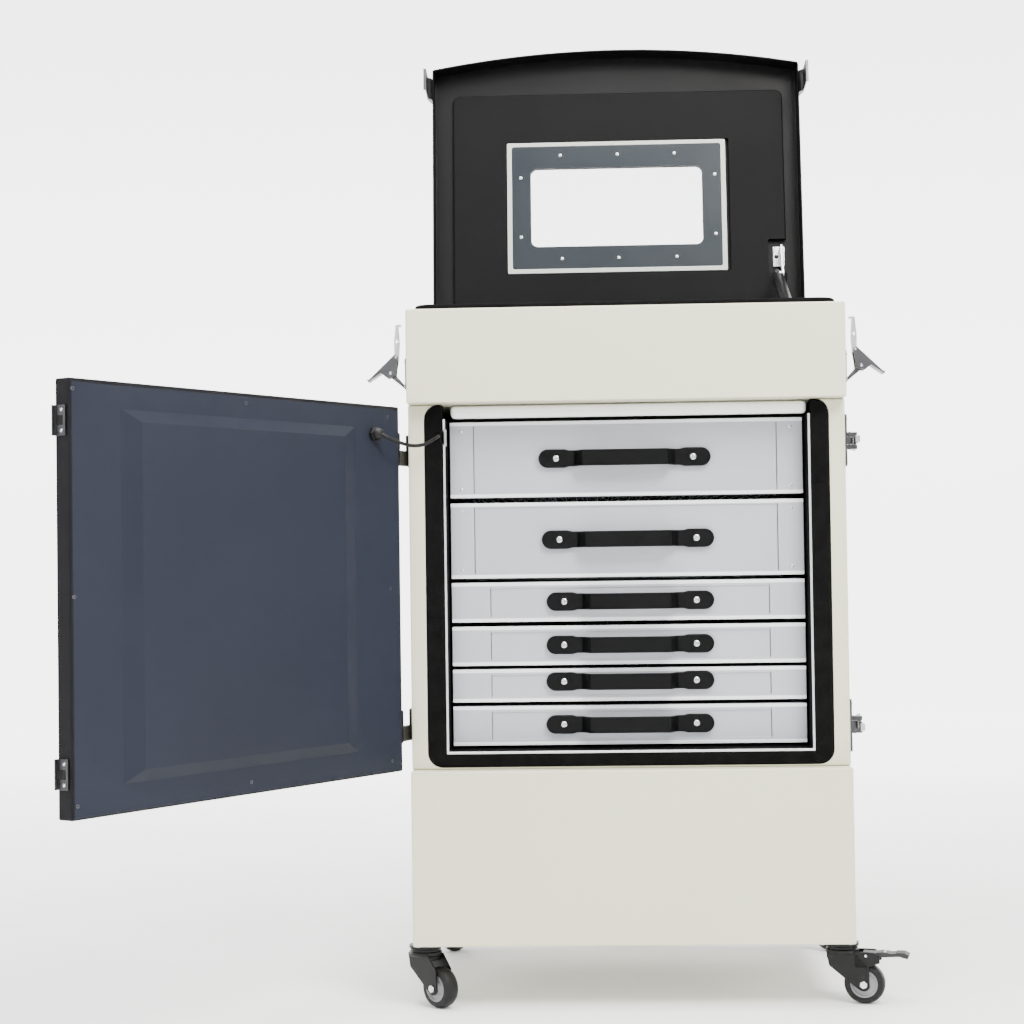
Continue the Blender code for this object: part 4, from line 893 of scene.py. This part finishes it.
for height in (0.690, 0.350):
    wings.append(box_shape((LEFT - 0.0030, OUTER + 0.0004, height - 0.0185), (LEFT + 0.001, INNER - 0.001, height + 0.0195),
                           0.0006, 2))
    wings.append(box_shape((0.002, -0.0022, height + 0.0004), (LEFT + 0.001, 0.0022, height + 0.0195), 0.0004, 1))
# The pan wears the darker copy of the slate coat: painted shade on the door's edges and rim.
piece("door_pan", "door", SHADED_SLATE, [pan, *wings], DOOR, stands_for=["door_panel"])
piece("door_cover", "door", SLATE, [cover], DOOR, smooth_deg=7)
knuckles = [turned([(0, 0.0004), (0.0061, 0.0004), (0.0065, 0.0009), (0.0065, 0.0188), (0.0060, 0.0194),
                    (0.0038, 0.0195), (0, 0.0195)], 40, Z_AXIS, (0, 0, h)) for h in (0.690, 0.350)]
piece("door_knuckles", "door", BLACK_STEEL, knuckles, DOOR)
screws = [(0.535, 0.730), (0.535, 0.521), (0.533, 0.312), (0.277, 0.730), (0.275, 0.311), (0.023, 0.728),
          (0.021, 0.520), (0.0215, 0.312)]
piece("door_screws", "door", NICKEL,
      [copies(screw_head(0.0030, 0.0013), at_places([(LEFT + u, INNER - 0.0008, z) for u, z in screws], Y_AXIS))], DOOR)
print("door screws:", len(screws))

pin_x, pin_y = JOINTS["door_hinge"]["pos_m"][0] - MIDDLE_X, JOINTS["door_hinge"]["pos_m"][1] - FRONT_Y
blocks, leaf_screws = {}, []
for name, height in (("upper", 0.690), ("lower", 0.350)):
    low, high = height - 0.0195, height - 0.0004
    leaf = outline_shape(rounded_rectangle((0.026, low), (0.064, height + 0.0195), 0.003), 0, -0.2735, -0.2704)
    arm = outline_shape([(pin_x - 0.0035, pin_y + 0.001), (pin_x + 0.0035, pin_y - 0.001), (-0.2715, 0.0262),
                         (-0.2715, 0.034), (-0.2755, 0.034)], 2, low + 0.0002, high)
    barrel = turned([(0, low), (0.0060, low), (0.0065, low + 0.0006), (0.0065, high - 0.0004), (0.0061, high), (0, high)],
                    40, Z_AXIS, (pin_x, pin_y, 0))
    piece(f"hinge_{name}", "root", BLACK_STEEL, [soften(leaf, 0.0006), soften(arm, 0.0008), barrel],
          stands_for=[f"hinge_block_{name}"])
    leaf_screws += [(-0.2735, 0.054, height + dz) for dz in (-0.011, 0.011)]
piece("hinge_screws", "root", ZINC, [copies(screw_head(0.0032, 0.0012), at_places(leaf_screws, -X_AXIS))])

# %% [markdown]
# The catch plates on the door's free edge are bent from bright strip. Each has a slot and two rivets.

# %% Door strikes
plates, rivets, slots = [], [], []
edge = RIGHT + 0.0004
for name, height in (("upper", 0.6983), ("lower", 0.3437)):
    profile = [(edge, OUTER + 0.001), (edge + 0.0055, OUTER + 0.001), (edge + 0.0055, OUTER + 0.0025),
               (edge + 0.0015, OUTER + 0.0025), (edge + 0.0015, OUTER + 0.0160), (edge, OUTER + 0.0160)]
    plate = soften(outline_shape(profile, 2, height - 0.0155, height + 0.0155), 0.0004, 2)
    piece(f"strike_{name}", "door", NICKEL, [plate], DOOR, stands_for=[f"door_strike_{name}"])
    rivets += [(edge + 0.0015, 0.0085, height + dz) for dz in (-0.0105, 0.0105)]
    slots.append(box_shape((edge + 0.0012, 0.0035, height - 0.0050), (edge + 0.0017, 0.0110, height + 0.0050)))
piece("strike_rivets", "door", ZINC, [copies(screw_head(0.0019, 0.0009, "plain"), at_places(rivets, X_AXIS))], DOOR)
piece("strike_slots", "door", PLASTIC, slots, DOOR)

# %% [markdown]
# ## Draw latches
# Draw latches clamp the lid and the door. A lever turns on a riveted base, and a claw hinged on the lever
# hooks over the strike. They are stamped and folded, so the engineering model's shapes are kept and
# their edges are rounded. Pins and rivets are added, because they are what shows that the levers turn.


# %% Latches
def steel_copy(name, node, body, material, radius=0.0004):
    return piece(name, body, material, [refined(node, radius)], Matrix.Identity(4), stands_for=[node])


def pin(middle, along, radius, length):
    return rod(middle, along, radius, length, 20, radius * 0.25)


for side, name in ((-1, "left"), (1, "right")):
    base_at = at_joint(f"header_lever_{name}_turn")
    claw_at = at_joint(f"header_claw_{name}_turn")
    steel_copy(f"header_base_{name}", f"header_latch_base_{name}", "root", NICKEL)
    steel_copy(f"header_lever_{name}", f"header_latch_lever_{name}", f"header_lever_{name}", NICKEL, 0.0005)
    steel_copy(f"header_claw_{name}", f"header_latch_claw_{name}", f"header_claw_{name}", ZINC)
    steel_copy(f"lid_strike_plate_{name}", f"lid_strike_{name}", "lid", NICKEL)
    piece(f"header_lever_pin_{name}", f"header_lever_{name}", ZINC, [pin((0, 0, 0), Y_AXIS, 0.0019, 0.0236)], base_at)
    piece(f"header_claw_pin_{name}", f"header_claw_{name}", ZINC, [pin((0, 0, 0), Y_AXIS, 0.0016, 0.0230)], claw_at)
    wall = side * 0.2722
    heads = [(wall, 0.0265 + dy, 0.786 + dz) for dy in (-0.0105, 0.0105) for dz in (-0.0165, 0.0140)]
    piece(f"header_rivets_{name}", "root", ZINC,
          [copies(screw_head(0.0021, 0.0009, "plain"), at_places(heads, side * X_AXIS))])
    heads = [(side * 0.2684, 0.0265 - 0.400 + dy, 0.0185) for dy in (-0.0095, 0.0095)]
    piece(f"lid_strike_rivets_{name}", "lid", ZINC,
          [copies(screw_head(0.0022, 0.0010, "plain"), at_places(heads, side * X_AXIS))], LID)

for name, height in (("upper", 0.6945), ("lower", 0.3435)):
    base_at = at_joint(f"door_lever_{name}_turn")
    claw_at = at_joint(f"door_claw_{name}_turn")
    steel_copy(f"door_base_{name}", f"door_latch_base_{name}", "root", NICKEL)
    steel_copy(f"door_lever_{name}", f"door_latch_lever_{name}", f"door_lever_{name}", NICKEL, 0.0005)
    steel_copy(f"door_claw_{name}", f"door_latch_claw_{name}", f"door_claw_{name}", ZINC)
    piece(f"door_lever_pin_{name}", f"door_lever_{name}", ZINC, [pin((0, 0, 0), Z_AXIS, 0.0016, 0.0226)], base_at)
    piece(f"door_claw_pin_{name}", f"door_claw_{name}", ZINC, [pin((0, 0, 0), Z_AXIS, 0.0009, 0.0098)], claw_at)
    heads = [(0.2724, y, height + dz) for y in (0.0275, 0.0660) for dz in (-0.0265, 0.0265)]
    piece(f"door_rivets_{name}", "root", ZINC,
          [copies(screw_head(0.0021, 0.0009, "plain"), at_places(heads, X_AXIS))])
print("draw latches: 4")

# %% [markdown]
# ## The blower bay
# Under the lid stands the blower housing. Its top carries the rocker switch, and a dark display plate
# that the window in the lid leaves visible. The impeller turns inside. The plate is left blank on
# purpose, because invented dials would claim more than is known.

# %% Blower, switch and impeller
housing = box_shape((-0.150, 0.110, 0.7490), (0.150, 0.405, 0.850), 0.0030, 3)
housing = cut(housing, [box_shape((-0.148, 0.112, 0.74), (0.148, 0.403, 0.848)),
                        box_shape((-0.118, 0.39, 0.774), (0.118, 0.42, 0.840)),
                        box_shape((0.083, 0.206, 0.84), (0.107, 0.230, 0.86))])
piece("blower_cover", "root", BLACK_STEEL, [housing], stands_for=["blower_housing"])
plate = soften(outline_shape(rounded_rectangle((-0.112, 0.135), (0.066, 0.238), 0.006), 2, 0.8499, 0.8514), 0.0004, 2)
piece("control_plate", "root", NICKEL, [plate])
glass = soften(outline_shape(rounded_rectangle((-0.098, 0.160), (-0.016, 0.214), 0.003), 2, 0.8512, 0.8524), 0.0003, 2)
piece("display_glass", "root", GLASS_BLACK, [glass])
heads = [(x, y, 0.8514) for x in (-0.106, 0.060) for y in (0.141, 0.232)]
heads += [(x, y, 0.850) for x in (-0.142, 0.142) for y in (0.118, 0.396)]
piece("blower_screws", "root", ZINC, [copies(screw_head(0.0030, 0.0014), at_places(heads, Z_AXIS))])
bezel = outline_shape(rounded_rectangle((0.0795, 0.2035), (0.1105, 0.2325), 0.003), 2, 0.8499, 0.8520)
bezel = cut(bezel, [box_shape((0.0832, 0.2062, 0.84), (0.1068, 0.2298, 0.86))])
piece("switch_bezel", "root", PLASTIC, [soften(bezel, 0.0005)])
steel_copy("rocker", "power_switch", "switch", RED, 0.0008)

fan_at = at_joint("fan_spin")
disc = turned([(0, 0.0615), (0.1035, 0.0615), (0.105, 0.0605), (0.105, 0.0590), (0, 0.0590)], 96)
motor = turned([(0, 0.0150), (0.0400, 0.0150), (0.0440, 0.0175), (0.045, 0.0210), (0.045, 0.0590), (0, 0.0590)], 64)
ring = turned([(0.068, 0.0078), (0.070, 0.0084), (0.104, 0.0084), (0.105, 0.0076), (0.105, 0.0044),
               (0.070, 0.0036), (0.068, 0.0042)], 96)
blades = []
for i in range(7):
    curve = [(-0.020 + 0.004 * k, 0.0030 * math.sin(math.pi * k / 10)) for k in range(11)]
    outline = [(x, y + 0.001) for x, y in curve] + [(x, y - 0.001) for x, y in reversed(curve)]
    blade = outline_shape(outline, 2, 0.0050, 0.0600)
    bmesh.ops.transform(blade, verts=blade.verts[:], matrix=Matrix.Rotation(2 * math.pi * i / 7, 4, "Z")
                        @ Matrix.Translation((0.083, 0, 0)) @ Matrix.Rotation(math.radians(42), 4, "Z"))
    blades.append(blade)
piece("impeller", "fan", ALUMINIUM, [disc, motor, ring, *blades], fan_at, stands_for=["fan_impeller"])

# %% [markdown]
# ## The back
# The back is not known, so it stays plain and serviceable: a rolled collar for the inlet duct with a bead
# that stops the duct slipping off, a louvred exhaust, and a standard three-pin mains inlet.

# %% Collar, grille and mains inlet
collar = turned([(0.0730, 0.0), (0.0730, 0.0550), (0.0750, 0.0550), (0.0750, 0.0420), (0.0757, 0.0410),
                 (0.0762, 0.0395), (0.0757, 0.0380), (0.0750, 0.0370), (0.0750, 0.0045), (0.0762, 0.0030),
                 (0.0932, 0.0030), (0.0940, 0.0022), (0.0940, 0.0)], 96, Y_AXIS, (0, 0.4204, 0.187))
piece("duct_collar", "root", BLACK_STEEL, [collar], stands_for=["inlet_collar"])
heads = [(0.0860 * math.cos(a), 0.4234, 0.187 + 0.0860 * math.sin(a))
         for a in (math.radians(22.5 + 45 * i) for i in range(8))]
piece("collar_screws", "root", ZINC, [copies(screw_head(0.0034, 0.0015), at_places(heads, Y_AXIS))])

grille = outline_shape(rounded_rectangle((-0.132, 0.762), (0.132, 0.852), 0.004), 1, 0.4204, 0.4224)
for i in range(7):
    z = 0.776 + 0.010 * i
    grille = cut(grille, [box_shape((-0.114, 0.41, z), (0.114, 0.44, z + 0.005))])
louvres = []
for i in range(7):
    z = 0.776 + 0.010 * i
    outline = [(0.4224, z + 0.0058), (0.4224, z + 0.0050), (0.4262, z + 0.0006), (0.4268, z + 0.0010), (0.4232, z + 0.0056)]
    louvres.append(outline_shape(outline, 0, -0.115, 0.115))
piece("exhaust_louvres", "root", CHARCOAL, [soften(grille, 0.0004, 1), *louvres], stands_for=["exhaust_grille"])
heads = [(x, 0.4224, z) for x in (-0.1255, 0.1255) for z in (0.768, 0.846)]
piece("grille_screws", "root", ZINC, [copies(screw_head(0.0030, 0.0013), at_places(heads, Y_AXIS))])

flange = outline_shape(rounded_rectangle((0.180, 0.780), (0.230, 0.820), 0.006), 1, 0.4204, 0.4240, 0.0008)
shroud = box_shape((0.1875, 0.398, 0.7875), (0.2225, 0.423, 0.8125), 0.001, 1)
socket = [(0.1925, 0.7925), (0.2175, 0.7925), (0.2175, 0.8035), (0.2135, 0.8075), (0.1965, 0.8075), (0.1925, 0.8035)]
inlet = cut(cut(flange, [shroud], "UNION"), [outline_shape(socket, 1, 0.402, 0.44)])
piece("mains_inlet", "root", PLASTIC, [inlet], stands_for=["power_inlet"])
pins = [box_shape((x - 0.0010, 0.4018, z - 0.0020), (x + 0.0010, 0.4170, z + 0.0020), 0.0003, 1)
        for x, z in ((0.1980, 0.7985), (0.2050, 0.8015), (0.2120, 0.7985))]
piece("inlet_pins", "root", NICKEL, pins)
heads = [(x, 0.4240, 0.800) for x in (0.1840, 0.2260)]
piece("inlet_screws", "root", ZINC, [copies(screw_head(0.0026, 0.0012), at_places(heads, Y_AXIS))])
print("back fittings: collar, grille, inlet")

# %% [markdown]
# ## Castors
# Each castor has a pressed fork that swivels under a ball race, and a wheel with a black tyre round a pale
# plastic ring. Local x points the way the wheel trails, which is different at every corner, just as they
# stop when a cabinet has been pushed into place. The front right one has a grey pedal that locks it.


# %% Castor forks and wheels
def fork_shapes(braked):
    top, trail, axle = 0.0766, 0.0270, 0.0252
    cup = turned([(0, top), (0.0165, top), (0.0178, top - 0.0008), (0.0205, top - 0.0016), (0.0205, top - 0.0052),
                  (0.0190, top - 0.0066), (0.0190, top - 0.0088), (0.0205, top - 0.0100), (0.0205, top - 0.0136),
                  (0.0192, top - 0.0150), (0, top - 0.0150)], 64)
    line = [(-0.0185, 0.0646), (0.0185, 0.0646), (0.0330, 0.0470), (0.0345, 0.0215), (0.0318, 0.0180),
            (0.0270, 0.0165), (0.0222, 0.0180), (0.0185, 0.0205), (-0.0150, 0.0470)]
    shapes = [cup]
    for side in (-1, 1):
        inner, outer = side * 0.0112, side * 0.0134
        cheek = outline_shape(line, 1, min(inner, outer), max(inner, outer))
        shapes.append(soften(cheek, 0.0007, 2))
        if braked:
            ear = outline_shape([(0.0160, 0.0650), (0.0390, 0.0650), (0.0465, 0.0605), (0.0470, 0.0520),
                                 (0.0300, 0.0450), (0.0160, 0.0450)], 1, min(inner, outer), max(inner, outer))
            shapes.append(soften(ear, 0.0007, 2))
    shapes.append(box_shape((-0.0180, -0.0125, 0.0560), (0.0160, 0.0125, 0.0640), 0.0010, 2))
    return shapes


for name in CASTORS:
    braked = name == "front_right"
    place = castor_frame(name)
    hub_place = place @ Matrix.Translation((0.0270, 0, 0.0252))
    fork_body, wheel_body = f"castor_{name}", f"wheel_{name}"
    piece(f"fork_{name}", fork_body, BLACK_STEEL, fork_shapes(braked), place, stands_for=[f"castor_fork_{name}"])
    bolt = copies(hex_head(0.0100, 0.0030), [toward((0, side * 0.0134, 0), side * Y_AXIS, 20) for side in (-1, 1)])
    axle = rod((0, 0, 0), Y_AXIS, 0.0030, 0.0266, 20)
    piece(f"axle_{name}", fork_body, ZINC, [bolt, axle], hub_place)
    tyre = turned([(0.0168, 0.0100), (0.0205, 0.0100), (0.0228, 0.0088), (0.0243, 0.0064), (0.0250, 0.0034),
                   (0.0252, 0.0), (0.0250, -0.0034), (0.0243, -0.0064), (0.0228, -0.0088), (0.0205, -0.0100),
                   (0.0168, -0.0100)], 96, Y_AXIS)
    piece(f"tyre_{name}", wheel_body, RUBBER, [tyre], hub_place, stands_for=[f"castor_wheel_{name}"])
    ring = turned([(0.0078, 0.0080), (0.0090, 0.0068), (0.0140, 0.0068), (0.0150, 0.0088), (0.0170, 0.0094),
                   (0.0170, -0.0094), (0.0150, -0.0088), (0.0140, -0.0068), (0.0090, -0.0068), (0.0078, -0.0080),
                   (0.0062, -0.0088), (0.0033, -0.0088), (0.0033, 0.0088), (0.0062, 0.0088)], 80, Y_AXIS)
    piece(f"wheel_ring_{name}", wheel_body, LIGHT_GREY, [ring], hub_place)

# %% [markdown]
# The pedal is a ribbed grey moulding on a steel tongue with two rivets.

# %% Brake pedal
swivel = castor_frame("front_right")
pedal_at = swivel @ Matrix.Translation((0.0300, 0, 0.0605))
line = [(-0.0045, 0.0035), (0.0120, 0.0035), (0.0200, 0.0045), (0.0250, 0.0040), (0.0300, 0.0030), (0.0350, 0.0034),
        (0.0400, 0.0045), (0.0460, 0.0042), (0.0520, 0.0020), (0.0512, -0.0018), (0.0500, -0.0030), (0.0400, -0.0005),
        (0.0120, -0.0025), (0.0060, -0.0050), (-0.0045, -0.0035)]
tread = soften(outline_shape(line, 1, -0.0100, 0.0100), 0.0008, 2)
tread = cut(tread, [pin((0, 0, 0), Y_AXIS, 0.0022, 0.03)])
ribs = [box_shape((x - 0.0006, -0.0085, 0.0030), (x + 0.0006, 0.0085, 0.0052), 0.0004, 1)
        for x in (0.0375, 0.0405, 0.0435, 0.0465)]
piece("pedal_tread", "brake_pedal", PEDAL_GREY, [tread, *ribs], pedal_at, stands_for=["castor_brake_pedal"])
heads = [(x, y, 0.0042) for x, y in ((0.0225, -0.0045), (0.0225, 0.0045))]
piece("pedal_rivets", "brake_pedal", ZINC, [copies(screw_head(0.0020, 0.0010, "plain"), at_places(heads, Z_AXIS))],
      pedal_at)
piece("pedal_pin", "castor_front_right", ZINC, [pin((0, 0, 0), Y_AXIS, 0.0018, 0.0300)], pedal_at)
print("castors:", len(CASTORS))

# %% [markdown]
# ## The lead
# One short black lead runs from the gland on the door to a hole in the seal. It is a real cord, so the
# mesh is a tube swept along its route.

# %% Lead and gland
leave = Vector((math.sin(math.radians(122.2)), math.cos(math.radians(122.2)), 0))
gland = DOOR @ Vector((LEFT + 0.0507, INNER + 0.0006, 0.7057))
start = CABINET.inverted() @ gland
end = Vector((-0.2330, 0.0208, 0.7070))
knots = [start, start + 0.010 * leave, Vector((-0.2815, -0.0640, 0.6985)), Vector((-0.2610, -0.0420, 0.6925)),
         Vector((-0.2460, -0.0160, 0.6955)), end - 0.012 * Y_AXIS - 0.0015 * Z_AXIS, end]
route = [CABINET @ p for p in smooth_route(knots, 10)]
section = arc((0, 0), 0.0022, 0, 337.5, 15)
lead_mesh = swept(route, section, Z_AXIS)
lead = as_object("lead", lead_mesh)
lead.data.materials.append(PLASTIC)
lead.data.shade_smooth()
length = sum((b - a).length for a, b in zip(route, route[1:]))
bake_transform(lead)
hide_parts("door_lead")
nut = soften(turned([(0, 0.0050), (0.0095, 0.0050), (0.0095, 0.0), (0, 0.0)], 6), 0.0008, 2)
dome = turned([(0.0024, 0.0135), (0.0042, 0.0130), (0.0062, 0.0110), (0.0074, 0.0080), (0.0078, 0.0048), (0, 0.0048)],
              48)
gland_at = DOOR @ toward((LEFT + 0.0507, INNER, 0.7057), Y_AXIS)
piece("lead_gland", "door", PLASTIC, [nut, dome], gland_at)
print("lead", round(length * 1000, 1), "mm")

# %% [markdown]
# ## Stage, light and camera
# A pale floor runs up into a pale wall, so nothing distracts from the object. A large soft light from the
# upper right does most of the work, a weaker one fills from the left, and the dim world keeps the shadows
# open. The camera stands low in front, a little to the left, with a portrait lens.

# %% Floor, lights and camera
bowl = [(0, 0)] + arc((4.6, 1.2), 1.2, -90, 0, 14) + [(5.8, 5.0), (5.82, 5.0)] + list(
    reversed(arc((4.6, 1.2), 1.22, -90, 0, 14))) + [(0, -0.02)]
ground = turned(bowl, 96)
floor = as_object("floor", ground)
floor.data.shade_smooth()
floor_finish = bpy.data.materials.new("paper_floor")
floor_finish.use_nodes = True
floor_finish.node_tree.nodes["Principled BSDF"].inputs["Base Color"].default_value = (0.93, 0.93, 0.93, 1)
floor_finish.node_tree.nodes["Principled BSDF"].inputs["Roughness"].default_value = 0.8
floor_finish.node_tree.nodes["Principled BSDF"].inputs["Emission Color"].default_value = (1, 1, 1, 1)
where = floor_finish.node_tree.nodes.new("ShaderNodeTexCoord")
split = floor_finish.node_tree.nodes.new("ShaderNodeSeparateXYZ")
floor_finish.node_tree.links.new(where.outputs["Object"], split.inputs["Vector"])
glow = floor_finish.node_tree.nodes.new("ShaderNodeMath")
glow.operation = "MAXIMUM"
behind, around = (spread(floor_finish, split.outputs["Y"], 0.0, 2.4, 0.6, 3.0),
                  spread(floor_finish, split.outputs["Z"], 0.0, 0.35, 0.05, 1.2))
floor_finish.node_tree.links.new(behind, glow.inputs[0])
floor_finish.node_tree.links.new(around, glow.inputs[1])
floor_finish.node_tree.links.new(glow.outputs[0], floor_finish.node_tree.nodes["Principled BSDF"].inputs["Emission Strength"])
floor.data.materials.append(floor_finish)


def area_light(name, place, target, size, power, tint=(1, 1, 1)):
    data = bpy.data.lights.new(name, "AREA")
    data.shape, data.size, data.energy, data.color = "SQUARE", size, power, tint
    lamp = bpy.data.objects.new(name, data)
    lamp.location = place
    lamp.rotation_euler = (Vector(target) - Vector(place)).to_track_quat("-Z", "Y").to_euler()
    bpy.context.scene.collection.objects.link(lamp)


area_light("key", (1.2, -1.9, 2.7), (0, -0.1, 0.85), 1.1, 165, (1.0, 0.98, 0.94))
area_light("fill", (-1.6, -2.8, 1.5), (0, 0, 0.6), 1.6, 26, (0.93, 0.97, 1.0))
area_light("top", (-0.3, -0.9, 2.7), (-0.2, -0.3, 0.6), 1.2, 60)
area_light("wall", (0, 0.4, 3.2), (0, 1.9, 1.0), 2.4, 170)
world = bpy.data.worlds.new("studio")
world.use_nodes = True
world.node_tree.nodes["Background"].inputs["Color"].default_value = (1, 1, 1, 1)
world.node_tree.nodes["Background"].inputs["Strength"].default_value = 0.24
bpy.context.scene.world = world

lens = bpy.data.cameras.new("camera")
lens.lens, lens.sensor_width = 70.68, 36.0
camera = bpy.data.objects.new("camera", lens)
yaw, pitch, roll = 0.038, 0.0249, 0.0138
turn = Matrix.Rotation(yaw, 3, "Z") @ Matrix.Rotation(pitch, 3, "X") @ Matrix.Rotation(roll, 3, "Y")
axes = Matrix((turn @ X_AXIS, turn @ Z_AXIS, -(turn @ Y_AXIS))).transposed()
camera.matrix_world = Matrix.Translation(CABINET @ Vector((-0.0476, -2.4655, 0.5498))) @ axes.to_4x4()
bpy.context.scene.collection.objects.link(camera)
bpy.context.scene.camera = camera

# %% [markdown]
# ## Finish
# The dressed cabinet must have the engineering model's size. The last cell brings the scene up to date.

# %% Update the scene
bpy.context.view_layer.update()
